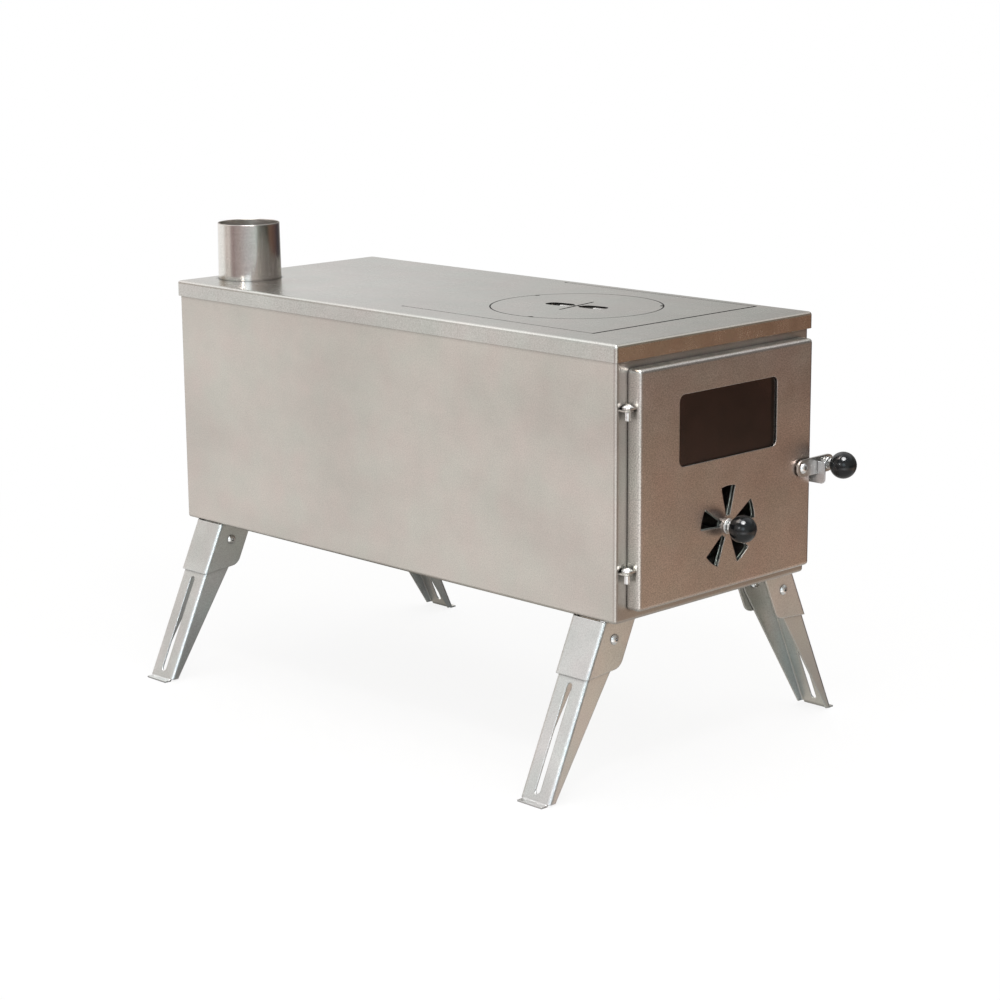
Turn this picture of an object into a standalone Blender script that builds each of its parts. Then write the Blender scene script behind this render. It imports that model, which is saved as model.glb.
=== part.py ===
"""Camping wood stove of folded sheet: firebox, lift-off hotplate, glazed door with a turning
air vent, ball-knob latch and four folding legs. Metres, +Z up, the door faces -Y.

Everything is drawn in the firebox's own frame, with the middle of its underside at the
origin, and hung on one empty that sets the feet on the ground and centres the whole."""

import math

import bmesh
import bpy
from mathutils import Matrix, Vector

# Firebox
BODY_LENGTH = 0.594
BODY_WIDTH = 0.258
BODY_HEIGHT = 0.244          # underside to cooking surface
SHEET = 0.0015
FOLD_RADIUS = 0.003
SEAT_GAP = 0.0003            # between pieces that touch
PAST = 0.006                 # how far a cutter reaches past what it cuts

# Lid
LID_SHEET = 0.002
LID_OVERHANG = 0.0028
LID_SKIRT = 0.0153
SLOT_WIDTH = 0.0028          # along the front
SLOT_ARM_WIDTH = 0.0011      # the two cuts that run back from it
SLOT_END_RADIUS = 0.0016
SLOT_FROM_LEFT = 0.0305      # from the firebox's sides and front
SLOT_FROM_RIGHT = 0.009
SLOT_FROM_FRONT = 0.055
SLOT_LENGTH = 0.242

# Hotplate and its ledge
HOTPLATE_X = 0.0115
HOTPLATE_FROM_FRONT = 0.179
HOTPLATE_RADIUS = 0.080
HOTPLATE_CLEARANCE = 0.0009
LEDGE_OVERLAP = 0.008
LEDGE_MARGIN = 0.010
LEDGE_SHEET = 0.0015
NOTCH_RADIUS = 0.003
NOTCH_COUNT = 3
NOTCH_FIRST_ANGLE = 62.0
LIFTER_LOBE_LENGTH = 0.030
LIFTER_LOBE_WIDTH = 0.016
LIFTER_LOBE_OFFSET = 0.0185
LIFTER_SLIT_LENGTH = 0.055
LIFTER_SLIT_WIDTH = 0.0025
LIFTER_TURN = 10.0
TONGUE_SHEET = 0.0012
TONGUE_REACH = 0.008
TONGUE_DROP = 0.0035
TONGUE_HALF = 0.008
TONGUE_SHIFT = 0.003         # from the lobe's middle, towards the door

# Flue collar
FLUE_FROM_LEFT = 0.061
FLUE_FROM_REAR = 0.035
FLUE_RADIUS = 0.03175
FLUE_TOP_RADIUS = 0.0311
FLUE_HEIGHT = 0.056
FLUE_WALL = 0.001
FLUE_DEPTH = 0.008
FLUE_SHOULDER = 0.0014

# Door
DOOR_FROM_LEFT = 0.0145      # from the firebox's edges
DOOR_FROM_RIGHT = 0.0105
DOOR_FROM_TOP = 0.022
DOOR_BOTTOM = 0.011
DOOR_DEPTH = 0.0142
DOOR_FOLD_RADIUS = 0.0035
DOOR_OVERLAP = 0.016
WINDOW_WIDTH = 0.132
WINDOW_FROM_TOP = 0.02805    # door's top to window's top
WINDOW_ABOVE_DAMPER = 0.02085
WINDOW_CORNER = 0.006
GLASS_THICKNESS = 0.004
GLASS_OVERLAP = 0.010
RETAINER_SHEET = 0.0012
RETAINER_FLANGE = 0.0055
RETAINER_LIP = 0.001

# Hinges
PIN_FROM_WALL = 0.006
PIN_FROM_FRONT = 0.0056
HINGE_FROM_BOTTOM = 0.0351   # from the door's bottom and top
HINGE_FROM_TOP = 0.0339
LUG_RADIUS = 0.005
LUG_GAP = 0.0003
PIN_RADIUS = 0.0027
PIN_CLEARANCE = 0.00035
PIN_TAIL = 0.0098

# Screws and nuts
HEAD_RADIUS = 0.0049
HEAD_HEIGHT = 0.0028
SCREW_RADIUS = 0.0025
HOLE_CLEARANCE = 0.0004
NUT_FLATS = 0.008
NUT_HEIGHT = 0.0038
WASHER_RADIUS = 0.007
WASHER_THICKNESS = 0.0012
KNOB_WASHER_RADIUS = 0.0058

# Air vent
VENT_FROM_BOTTOM = 0.0566    # door's bottom to vent's middle
VENT_OPENINGS = 5
VENT_OPENING_ANGLE = 30.0
VENT_INNER_RADIUS = 0.010
VENT_OUTER_RADIUS = 0.037
DAMPER_RADIUS = 0.042
DAMPER_SHEET = 0.0012
DAMPER_SPACER = 0.0013
SPACER_RADIUS = 0.006
SPINDLE_HEAD = 0.0035

# Ball knobs
BALL_RADIUS = 0.0125
BALL_FLAT_RADIUS = 0.006
BALL_BORE_DEPTH = 0.008
DAMPER_STEM = 0.0061
LATCH_STEM = 0.0062

# Latch
LATCH_FROM_EDGE = 0.0153     # door's right edge to the latch's pivot
LATCH_FROM_BOTTOM = 0.0935
LATCH_SPAN = 0.0364
LATCH_BAR_HALF = 0.008
LATCH_SHEET = 0.002
LATCH_SPACER = 0.0009
CATCH_FROM_DOOR = 0.0055
CATCH_SHEET = 0.0015
CATCH_RISE = 0.004           # above and below the latch's pivot
CATCH_DROP = 0.0165
CATCH_PRONG = 0.0082
CATCH_CORNER = 0.004
CATCH_NOTCH_GAP = 0.0004
CATCH_FOOT = 0.016

# Legs
LEG_FROM_END = 0.0323        # firebox's end to the leg's middle
LEG_SPLAY = 24.8
GROUND_DROP = 0.152          # firebox underside to ground
PIVOT_FROM_SIDE = 0.013
PIVOT_DROP = 0.0175
BRACKET_WIDTH = 0.0392
BRACKET_TO_PIVOT = 0.0188
BRACKET_FLANGE = 0.037
BRACKET_DROP = 0.0485
BRACKET_INNER_RISE = 0.004
BRACKET_CORNER = 0.012
LEG_CLEARANCE = 0.0004
LEG_WEB_CLEARANCE = 0.0005
LEG_FLANGE_TOP = 0.0301
LEG_FLANGE_FOOT = 0.007
LEG_CROWN_END = 140.0
LEG_SLOT_WIDTH = 0.0062
LEG_SLOT_TOP = 0.047
LEG_SLOT_BOTTOM = 0.147
FOOT_LIP = 0.0055
FOOT_BEND = 0.002
FLANGE_FOOT_GAP = 0.002

# Grate and rear panel
GRATE_HEIGHT = 0.0265
GRATE_SIDE_GAP = 0.002
GRATE_FRONT_GAP = 0.0075
GRATE_REAR_GAP = 0.045
GRATE_SLOT_LENGTH = 0.100
GRATE_SLOT_WIDTH = 0.008
GRATE_PITCH = 0.030
GRATE_RIB = 0.020
REAR_DEPTH = 0.012
REAR_FOLD = 0.0025

# Places that follow from the sizes
LID_TOP = BODY_HEIGHT
SHELL_TOP = LID_TOP - LID_SHEET - SEAT_GAP
FRONT_Y = -BODY_LENGTH / 2
REAR_Y = BODY_LENGTH / 2
SLOT_LEFT = -BODY_WIDTH / 2 + SLOT_FROM_LEFT
SLOT_RIGHT = BODY_WIDTH / 2 - SLOT_FROM_RIGHT
SLOT_FRONT = FRONT_Y + SLOT_FROM_FRONT
SLOT_REAR_END = SLOT_FRONT + SLOT_LENGTH
HOTPLATE_Y = FRONT_Y + HOTPLATE_FROM_FRONT
FLUE_X = -BODY_WIDTH / 2 + FLUE_FROM_LEFT
FLUE_Y = REAR_Y - FLUE_FROM_REAR
DOOR_LEFT = -BODY_WIDTH / 2 + DOOR_FROM_LEFT
DOOR_RIGHT = BODY_WIDTH / 2 - DOOR_FROM_RIGHT
DOOR_TOP = BODY_HEIGHT - DOOR_FROM_TOP
DOOR_CENTRE_X = (DOOR_LEFT + DOOR_RIGHT) / 2
DOOR_WIDTH = DOOR_RIGHT - DOOR_LEFT
DOOR_HEIGHT = DOOR_TOP - DOOR_BOTTOM
VENT_HEIGHT = DOOR_BOTTOM + VENT_FROM_BOTTOM
WINDOW_TOP = DOOR_TOP - WINDOW_FROM_TOP
WINDOW_BOTTOM = VENT_HEIGHT + DAMPER_RADIUS + WINDOW_ABOVE_DAMPER
WINDOW_HEIGHT = WINDOW_TOP - WINDOW_BOTTOM
WINDOW_HEIGHT_CENTRE = (WINDOW_TOP + WINDOW_BOTTOM) / 2
HINGE_HEIGHTS = (DOOR_BOTTOM + HINGE_FROM_BOTTOM, DOOR_TOP - HINGE_FROM_TOP)
DOOR_RIM_Y = FRONT_Y - SEAT_GAP
DOOR_FACE_Y = DOOR_RIM_Y - DOOR_DEPTH
DOOR_INSIDE_Y = DOOR_FACE_Y + SHEET
PIN_X = DOOR_LEFT - PIN_FROM_WALL
PIN_Y = FRONT_Y - PIN_FROM_FRONT
SCREW_HOLE = SCREW_RADIUS + HOLE_CLEARANCE
LATCH_BACK_Y = DOOR_FACE_Y - LATCH_SPACER - 2 * SEAT_GAP
LATCH_FACE_Y = LATCH_BACK_Y - LATCH_SHEET
LATCH_X = DOOR_RIGHT - LATCH_FROM_EDGE
LATCH_HEIGHT = DOOR_BOTTOM + LATCH_FROM_BOTTOM
CATCH_X = DOOR_RIGHT + CATCH_FROM_DOOR
CATCH_TOP = LATCH_HEIGHT + CATCH_RISE
CATCH_BOTTOM = LATCH_HEIGHT - CATCH_DROP
KNOB_X = LATCH_X + LATCH_SPAN
BALL_FLAT = math.sqrt(BALL_RADIUS ** 2 - BALL_FLAT_RADIUS ** 2)
SPLAY = math.radians(LEG_SPLAY)
LEG_STATION = REAR_Y - LEG_FROM_END
PIVOT_X = BODY_WIDTH / 2 - PIVOT_FROM_SIDE
GRATE_LENGTH = BODY_LENGTH - SHEET - GRATE_FRONT_GAP - GRATE_REAR_GAP
LEG_WEB = BRACKET_TO_PIVOT - SHEET - LEG_WEB_CLEARANCE
LEG_WIDTH = BRACKET_WIDTH - 2 * SHEET - 2 * LEG_CLEARANCE
FRONT_REACH = LATCH_FACE_Y - LATCH_STEM - BALL_FLAT - BALL_RADIUS
REAR_REACH = REAR_Y + LID_OVERHANG


def clear_scene():
    for thing in list(bpy.data.objects):
        bpy.data.objects.remove(thing, do_unlink=True)


def material(name, colour, roughness, metallic, alpha=1.0):
    made = bpy.data.materials.new(name)
    made.use_nodes = True
    shader = made.node_tree.nodes["Principled BSDF"]
    shader.inputs["Base Color"].default_value = (*colour, 1.0)
    shader.inputs["Roughness"].default_value = roughness
    shader.inputs["Metallic"].default_value = metallic
    shader.inputs["Alpha"].default_value = alpha
    return made


def finished_mesh(work):
    """Turn a bmesh into a mesh with its faces pointing out."""
    bmesh.ops.recalc_face_normals(work, faces=work.faces)
    mesh = bpy.data.meshes.new("piece")
    work.to_mesh(mesh)
    work.free()
    return mesh


def combine(operation, base, *tools):
    """Apply exact Boolean steps of one kind to a base mesh."""
    things = [bpy.data.objects.new("work", mesh) for mesh in (base, *tools)]
    for thing in things:
        bpy.context.scene.collection.objects.link(thing)
    for tool in things[1:]:
        step = things[0].modifiers.new("step", "BOOLEAN")
        step.operation = operation
        step.solver = "EXACT"
        step.object = tool
    graph = bpy.context.evaluated_depsgraph_get()
    result = bpy.data.meshes.new_from_object(things[0].evaluated_get(graph))
    for thing in things:
        bpy.data.objects.remove(thing, do_unlink=True)
    return result


def cut(base, *tools):
    return combine("DIFFERENCE", base, *tools)


def join(base, *tools):
    return combine("UNION", base, *tools)


def common(base, *tools):
    return combine("INTERSECT", base, *tools)


def arc(centre, radius, start, end, steps):
    """Points on a circle between two angles in degrees, both ends kept."""
    angles = [math.radians(start + (end - start) * i / steps) for i in range(steps + 1)]
    return [(centre[0] + radius * math.cos(a), centre[1] + radius * math.sin(a)) for a in angles]


def filleted(corners, steps=4):
    """An outline from (x, y, radius) corners, each rounded by its own radius."""
    points = []
    for i, (x, y, radius) in enumerate(corners):
        here = Vector((x, y))
        if radius <= 0:
            points.append((x, y))
            continue
        before = (Vector(corners[i - 1][:2]) - here).normalized()
        after = (Vector(corners[(i + 1) % len(corners)][:2]) - here).normalized()
        half = before.angle(after) / 2
        reach = radius / math.tan(half)
        middle = here + (before + after).normalized() * (radius / math.sin(half))
        first = here + before * reach - middle
        last = here + after * reach - middle
        sweep = first.angle_signed(last)
        for k in range(steps + 1):
            turn = Matrix.Rotation(-sweep * k / steps, 2)
            points.append(tuple(middle + turn @ first))
    return points


def rectangle(width, height, radius=0.0, centre=(0.0, 0.0), steps=4):
    x, y = width / 2, height / 2
    corners = [(-x, -y), (x, -y), (x, y), (-x, y)]
    placed = [(centre[0] + a, centre[1] + b, radius) for a, b in corners]
    return filleted(placed, steps)


def circle(radius, centre=(0.0, 0.0), steps=24):
    return arc(centre, radius, 0.0, 360.0, steps)[:-1]


def obround(start, end, radius, steps=6):
    """A straight slot between two centres, with round ends."""
    heading = math.degrees(math.atan2(end[1] - start[1], end[0] - start[0]))
    return (arc(end, radius, heading - 90, heading + 90, steps)
            + arc(start, radius, heading + 90, heading + 270, steps))


def hexagon(flats, centre=(0.0, 0.0)):
    return arc(centre, flats / math.sqrt(3), 0.0, 360.0, 6)[:-1]


def prism(outline, low, high, axis):
    """A straight-sided solid of an outline, from low to high along one axis."""
    place = {"X": lambda a, b, level: (level, a, b),
             "Y": lambda a, b, level: (a, level, b),
             "Z": lambda a, b, level: (a, b, level)}[axis]
    work = bmesh.new()
    bottom = [work.verts.new(place(a, b, low)) for a, b in outline]
    top = [work.verts.new(place(a, b, high)) for a, b in outline]
    work.faces.new(bottom)
    work.faces.new(top)
    for i in range(len(outline)):
        j = (i + 1) % len(outline)
        work.faces.new((bottom[i], bottom[j], top[j], top[i]))
    return finished_mesh(work)


def block(low, high, radius=0.0, open_sides=(), steps=3):
    """A box whose edges are rounded, apart from those that lie in an open side."""
    work = bmesh.new()
    size = [b - a for a, b in zip(low, high)]
    middle = [(a + b) / 2 for a, b in zip(low, high)]
    place = Matrix.Translation(middle) @ Matrix.Diagonal((*size, 1.0))
    bmesh.ops.create_cube(work, size=1.0, matrix=place)
    if radius > 0:
        levels = {side: (high if side[0] == "+" else low)["XYZ".index(side[1])]
                  for side in open_sides}

        def in_open_side(edge):
            return any(all(abs(v.co["XYZ".index(side[1])] - level) < 1e-6 for v in edge.verts)
                       for side, level in levels.items())

        rounded = [edge for edge in work.edges if not in_open_side(edge)]
        bmesh.ops.bevel(work, geom=rounded, offset=radius, segments=steps, profile=0.5,
                        affect="EDGES")
    return finished_mesh(work)


def folded_pan(low, high, sheet, radius, open_sides):
    """A sheet box folded with round edges and open on the named sides."""
    inner_low = [a + sheet for a in low]
    inner_high = [b - sheet for b in high]
    for side in open_sides:
        k = "XYZ".index(side[1])
        if side[0] == "+":
            inner_high[k] = high[k] + PAST
        else:
            inner_low[k] = low[k] - PAST
    outside = block(low, high, radius, open_sides)
    inside = block(inner_low, inner_high, radius - sheet, open_sides)
    return cut(outside, inside)


def turned(profile, centre, axis="Z", steps=24, closed=False):
    """A solid turned about an axis from (radius, height) points, or a ring if closed."""
    lay = {"X": lambda r, a, h: (h, r * math.cos(a), r * math.sin(a)),
           "Y": lambda r, a, h: (r * math.sin(a), h, r * math.cos(a)),
           "Z": lambda r, a, h: (r * math.cos(a), r * math.sin(a), h)}[axis]
    work = bmesh.new()
    rings = []
    for radius, height in profile:
        count = 1 if radius == 0 else steps
        angles = [2 * math.pi * k / steps for k in range(count)]
        rings.append([work.verts.new(Vector(centre) + Vector(lay(radius, a, height)))
                      for a in angles])
    pairs = list(zip(rings, rings[1:]))
    if closed:
        pairs.append((rings[-1], rings[0]))
    for first, second in pairs:
        for k in range(steps):
            n = (k + 1) % steps
            corners = [first[k % len(first)], first[n % len(first)],
                       second[n % len(second)], second[k % len(second)]]
            work.faces.new(list(dict.fromkeys(corners)))
    return finished_mesh(work)


def rod(radius, low, high, centre, axis, steps=16):
    """A plain round bar, used as shafts and as hole cutters."""
    return turned([(0, low), (radius, low), (radius, high), (0, high)], centre, axis, steps)


def ring(outer, inner, low, high, centre, axis, steps=24):
    profile = [(outer, low), (outer, high), (inner, high), (inner, low)]
    return turned(profile, centre, axis, steps, closed=True)


def dome(radius, height, steps=3):
    """Profile points of a domed head, from its rim up to its pole at height."""
    bend = (radius ** 2 + height ** 2) / (2 * height)
    spread = math.asin(min(1.0, radius / bend))
    angles = [spread * (1 - k / steps) for k in range(steps)]
    rim = [(bend * math.sin(a), height - bend * (1 - math.cos(a))) for a in angles]
    return rim + [(0, height)]


def domed_screw(centre, axis, outward, length, radius=SCREW_RADIUS):
    """A screw whose head sits on the centre and points outward (+1 or -1) along the axis."""
    head = [(r, outward * h) for r, h in dome(HEAD_RADIUS, HEAD_HEIGHT)]
    shank = [(0, -outward * length), (radius, -outward * length), (radius, 0)]
    return turned(shank + head, centre, axis, 16)


def nut(centre, axis, low, high):
    """A hexagon nut on a screw, between two levels along its axis."""
    index = "XYZ".index(axis)
    across = [value for k, value in enumerate(centre) if k != index]
    body = prism(hexagon(NUT_FLATS, across), low, high, axis)
    origin = [0.0 if k == index else value for k, value in enumerate(centre)]
    return cut(body, rod(SCREW_HOLE, low - PAST, high + PAST, origin, axis))


class Group:
    """Pieces that move together, hung on an empty whose origin lies on their joint's axis."""

    def __init__(self, name, origin, parent=None):
        self.origin = Vector(origin)
        self.empty = bpy.data.objects.new(name, None)
        bpy.context.scene.collection.objects.link(self.empty)
        if parent is None:
            self.empty.location = self.origin
        else:
            self.empty.parent = parent.empty
            self.empty.location = self.origin - parent.origin

    def add(self, name, mesh, finish):
        """Add a piece drawn in the firebox's frame."""
        mesh.transform(Matrix.Translation(-self.origin))
        return self.hang(name, mesh, finish)

    def hang(self, name, mesh, finish, location=(0, 0, 0), rotation=(0, 0, 0)):
        """Add a piece drawn about its own origin."""
        piece = bpy.data.objects.new(name, mesh)
        bpy.context.scene.collection.objects.link(piece)
        piece.parent = self.empty
        piece.location = location
        piece.rotation_euler = rotation
        if not mesh.materials:
            mesh.materials.append(finish)
        mesh.name = name
        mesh.shade_smooth()
        mesh.set_sharp_from_angle(angle=math.radians(32))
        return piece


def door_opening_outline():
    width = DOOR_WIDTH - 2 * DOOR_OVERLAP
    height = DOOR_HEIGHT - 2 * DOOR_OVERLAP
    centre = (DOOR_CENTRE_X, DOOR_BOTTOM + DOOR_HEIGHT / 2)
    return rectangle(width, height, DOOR_OVERLAP / 3, centre)


def lug_outline(toward, root):
    """A welded lug with a round end about the hinge pin. Its root is a level in Y for a lug
    on the front frame, or in X for one on the door's wall."""
    if toward == "front":
        return ([(PIN_X + LUG_RADIUS, root), (PIN_X - LUG_RADIUS, root)]
                + arc((PIN_X, PIN_Y), LUG_RADIUS, 180, 360, 8))
    return ([(root, PIN_Y - LUG_RADIUS), (root, PIN_Y + LUG_RADIUS)]
            + arc((PIN_X, PIN_Y), LUG_RADIUS, 90, 270, 8))


def pin_holes():
    return [rod(PIN_RADIUS + PIN_CLEARANCE, height - 2 * PAST, height + 2 * PAST,
                (PIN_X, PIN_Y, 0), "Z") for height in HINGE_HEIGHTS]


def body_shell():
    """Two sides, bottom and front frame, folded from sheet, with the lower hinge lugs."""
    half = BODY_WIDTH / 2
    shell = folded_pan((-half, FRONT_Y, 0), (half, REAR_Y, SHELL_TOP), SHEET, FOLD_RADIUS,
                       ("+Z", "+Y"))
    doorway = prism(door_opening_outline(), FRONT_Y - PAST, FRONT_Y + 2 * SHEET, "Y")
    catch_hole = block((CATCH_X - CATCH_SHEET / 2 - SEAT_GAP, FRONT_Y - PAST,
                        CATCH_BOTTOM - SEAT_GAP),
                       (CATCH_X + CATCH_SHEET / 2 + SEAT_GAP, FRONT_Y + 2 * SHEET,
                        CATCH_TOP + SEAT_GAP))
    shell = cut(shell, doorway, catch_hole)
    lugs = [prism(lug_outline("front", FRONT_Y + SHEET / 2), height - LUG_GAP / 2 - SHEET,
                  height - LUG_GAP / 2, "Z") for height in HINGE_HEIGHTS]
    return cut(join(shell, *lugs), *pin_holes())


def rear_panel():
    edge = BODY_WIDTH / 2 - SHEET - SEAT_GAP
    low = (-edge, REAR_Y - REAR_DEPTH, SHEET + SEAT_GAP)
    high = (edge, REAR_Y, SHELL_TOP)
    return folded_pan(low, high, SHEET, REAR_FOLD, ("-Y", "+Z"))


def hotplate_centre():
    return (HOTPLATE_X, HOTPLATE_Y)


def expansion_slot():
    """Cutters for the slot round three sides of the cooking zone: a wider run along the front
    and two thin arms that each end in a round hole."""
    low, high = LID_TOP - LID_SHEET - PAST / 2, LID_TOP + PAST
    front = obround((SLOT_LEFT, SLOT_FRONT), (SLOT_RIGHT, SLOT_FRONT), SLOT_WIDTH / 2, 4)
    arms = [rectangle(SLOT_ARM_WIDTH, SLOT_LENGTH, 0, (x, SLOT_FRONT + SLOT_LENGTH / 2))
            for x in (SLOT_LEFT, SLOT_RIGHT)]
    ends = [circle(SLOT_END_RADIUS, (x, SLOT_REAR_END), 12) for x in (SLOT_LEFT, SLOT_RIGHT)]
    return [prism(outline, low, high, "Z") for outline in (front, *arms, *ends)]


def top_cover():
    x = BODY_WIDTH / 2 + LID_OVERHANG
    y = BODY_LENGTH / 2 + LID_OVERHANG
    lid = folded_pan((-x, -y, LID_TOP - LID_SKIRT), (x, y, LID_TOP), LID_SHEET, FOLD_RADIUS,
                     ("-Z",))
    low, high = LID_TOP - LID_SHEET - PAST / 2, LID_TOP + PAST
    hob = prism(circle(HOTPLATE_RADIUS + HOTPLATE_CLEARANCE, hotplate_centre(), 72),
                low, high, "Z")
    flue = prism(circle(FLUE_RADIUS + SEAT_GAP, (FLUE_X, FLUE_Y), 48), low, high, "Z")
    return cut(lid, hob, flue, *expansion_slot())


def hotplate_ledge():
    """The ring under the lid that the hotplate rests on."""
    high = LID_TOP - LID_SHEET - SEAT_GAP
    return ring(HOTPLATE_RADIUS + LEDGE_MARGIN, HOTPLATE_RADIUS - LEDGE_OVERLAP,
                high - LEDGE_SHEET, high, (HOTPLATE_X, HOTPLATE_Y, 0), "Z", 72)


def lifter_tongue(middle_y):
    """A tongue under one lobe of the lifter cut-out, for the lifter to hook. It is welded
    below the lobe's far side and slopes down towards the near side."""
    far = HOTPLATE_X + LIFTER_LOBE_WIDTH / 2
    low = LID_TOP - LID_SHEET
    profile = [(far + 2 * SHEET, low + SEAT_GAP), (far, low + SEAT_GAP),
               (far - TONGUE_REACH, low - TONGUE_DROP),
               (far - TONGUE_REACH, low - TONGUE_DROP - TONGUE_SHEET),
               (far, low - TONGUE_SHEET), (far + 2 * SHEET, low - TONGUE_SHEET)]
    middle = middle_y - TONGUE_SHIFT
    return prism(profile, middle - TONGUE_HALF, middle + TONGUE_HALF, "Y")


def hotplate():
    """The round plate with its lifter cut-out and rim notches."""
    low = LID_TOP - LID_SHEET
    plate = prism(circle(HOTPLATE_RADIUS, hotplate_centre(), 72), low, LID_TOP, "Z")
    below, above = low - PAST, LID_TOP + PAST
    run = (LIFTER_LOBE_LENGTH - LIFTER_LOBE_WIDTH) / 2
    middles = [HOTPLATE_Y - LIFTER_LOBE_OFFSET, HOTPLATE_Y + LIFTER_LOBE_OFFSET]
    lobes = [prism(obround((HOTPLATE_X, y - run), (HOTPLATE_X, y + run),
                           LIFTER_LOBE_WIDTH / 2), below, above, "Z") for y in middles]
    reach = LIFTER_SLIT_LENGTH / 2
    slits = [prism(rectangle(LIFTER_SLIT_WIDTH, 2 * LIFTER_LOBE_OFFSET, 0, hotplate_centre()),
                   below, above, "Z"),
             prism(obround((HOTPLATE_X - reach, HOTPLATE_Y), (HOTPLATE_X + reach, HOTPLATE_Y),
                           LIFTER_SLIT_WIDTH / 2, 4), below, above, "Z")]
    angles = [math.radians(NOTCH_FIRST_ANGLE + 360 * k / NOTCH_COUNT)
              for k in range(NOTCH_COUNT)]
    notches = [prism(circle(NOTCH_RADIUS, (HOTPLATE_X + HOTPLATE_RADIUS * math.cos(a),
                                           HOTPLATE_Y + HOTPLATE_RADIUS * math.sin(a)), 12),
                     below, above, "Z") for a in angles]
    plate = cut(plate, *lobes, *slits, *notches)
    plate = join(plate, *[lifter_tongue(y) for y in middles])
    about = Matrix.Translation((HOTPLATE_X, HOTPLATE_Y, 0))
    plate.transform(about @ Matrix.Rotation(math.radians(LIFTER_TURN), 4, "Z") @ about.inverted())
    return plate


def flue_collar():
    """A thin tapered tube through the lid, with a swaged shoulder that stops it under the lid."""
    base = LID_TOP - LID_SHEET - SEAT_GAP
    flange = FLUE_RADIUS + FLUE_SHOULDER
    top = LID_TOP + FLUE_HEIGHT
    profile = [(FLUE_RADIUS, base), (FLUE_RADIUS, LID_TOP), (FLUE_TOP_RADIUS, top),
               (FLUE_TOP_RADIUS - FLUE_WALL, top), (FLUE_RADIUS - FLUE_WALL, LID_TOP),
               (FLUE_RADIUS - FLUE_WALL, base - FLUE_DEPTH), (FLUE_RADIUS, base - FLUE_DEPTH),
               (FLUE_RADIUS, base - SHEET), (flange, base - SHEET), (flange, base)]
    return turned(profile, (FLUE_X, FLUE_Y, 0), "Z", 48, closed=True)


def fire_grate():
    """A slotted tray with both long edges folded down to the firebox floor."""
    half = BODY_WIDTH / 2 - SHEET - GRATE_SIDE_GAP
    front = FRONT_Y + SHEET + GRATE_FRONT_GAP
    tray = folded_pan((-half, front, SHEET + SEAT_GAP), (half, front + GRATE_LENGTH,
                                                          GRATE_HEIGHT),
                      SHEET, FOLD_RADIUS, ("-Z", "-Y", "+Y"))
    rows = int((GRATE_LENGTH - 2 * GRATE_RIB) // GRATE_PITCH)
    first = front + (GRATE_LENGTH - (rows - 1) * GRATE_PITCH) / 2
    run = (GRATE_SLOT_LENGTH - GRATE_SLOT_WIDTH) / 2
    offset = (GRATE_SLOT_LENGTH + GRATE_RIB) / 2
    slots = [prism(obround((side * offset - run, first + row * GRATE_PITCH),
                           (side * offset + run, first + row * GRATE_PITCH),
                           GRATE_SLOT_WIDTH / 2, 4),
                   GRATE_HEIGHT - 3 * SHEET, GRATE_HEIGHT + PAST, "Z")
             for side in (-1, 1) for row in range(rows)]
    return cut(tray, *slots)


def vent_sectors(low, high):
    """The five openings of the air vent, as cutters between two levels in Y."""
    sectors = []
    half = VENT_OPENING_ANGLE / 2
    for k in range(VENT_OPENINGS):
        heading = 90 - 360 * k / VENT_OPENINGS
        centre = (DOOR_CENTRE_X, VENT_HEIGHT)
        outline = (arc(centre, VENT_OUTER_RADIUS, heading - half, heading + half, 6)
                   + arc(centre, VENT_INNER_RADIUS, heading + half, heading - half, 2))
        sectors.append(prism(outline, low, high, "Y"))
    return sectors


def door_pan():
    """The folded door with its window, vent, latch hole and upper hinge lugs."""
    pan = folded_pan((DOOR_LEFT, DOOR_FACE_Y, DOOR_BOTTOM), (DOOR_RIGHT, DOOR_RIM_Y, DOOR_TOP),
                     SHEET, DOOR_FOLD_RADIUS, ("+Y",))
    low, high = DOOR_FACE_Y - PAST, DOOR_FACE_Y + 2 * SHEET
    window = prism(rectangle(WINDOW_WIDTH, WINDOW_HEIGHT, WINDOW_CORNER,
                             (DOOR_CENTRE_X, WINDOW_HEIGHT_CENTRE)), low, high, "Y")
    holes = [rod(SCREW_HOLE, low, high, (DOOR_CENTRE_X, 0, VENT_HEIGHT), "Y"),
             rod(SCREW_HOLE, low, high, (LATCH_X, 0, LATCH_HEIGHT), "Y")]
    pan = cut(pan, window, *holes, *vent_sectors(low, high))
    lugs = [prism(lug_outline("side", DOOR_LEFT + SHEET / 2), height + LUG_GAP / 2,
                  height + LUG_GAP / 2 + SHEET, "Z") for height in HINGE_HEIGHTS]
    return cut(join(pan, *lugs), *pin_holes())


def hinge_pin(height):
    """A domed pin through a pair of lugs, with a plain tail below them."""
    seat = LUG_GAP / 2 + SHEET + SEAT_GAP
    return domed_screw((PIN_X, PIN_Y, height + seat), "Z", 1, seat + PIN_TAIL, PIN_RADIUS)


def glass_size():
    return WINDOW_WIDTH + 2 * GLASS_OVERLAP, WINDOW_HEIGHT + 2 * GLASS_OVERLAP


def window_glass():
    width, height = glass_size()
    face = DOOR_INSIDE_Y + SEAT_GAP
    outline = rectangle(width, height, SHEET, (DOOR_CENTRE_X, WINDOW_HEIGHT_CENTRE), 2)
    return prism(outline, face, face + GLASS_THICKNESS, "Y")


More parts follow.
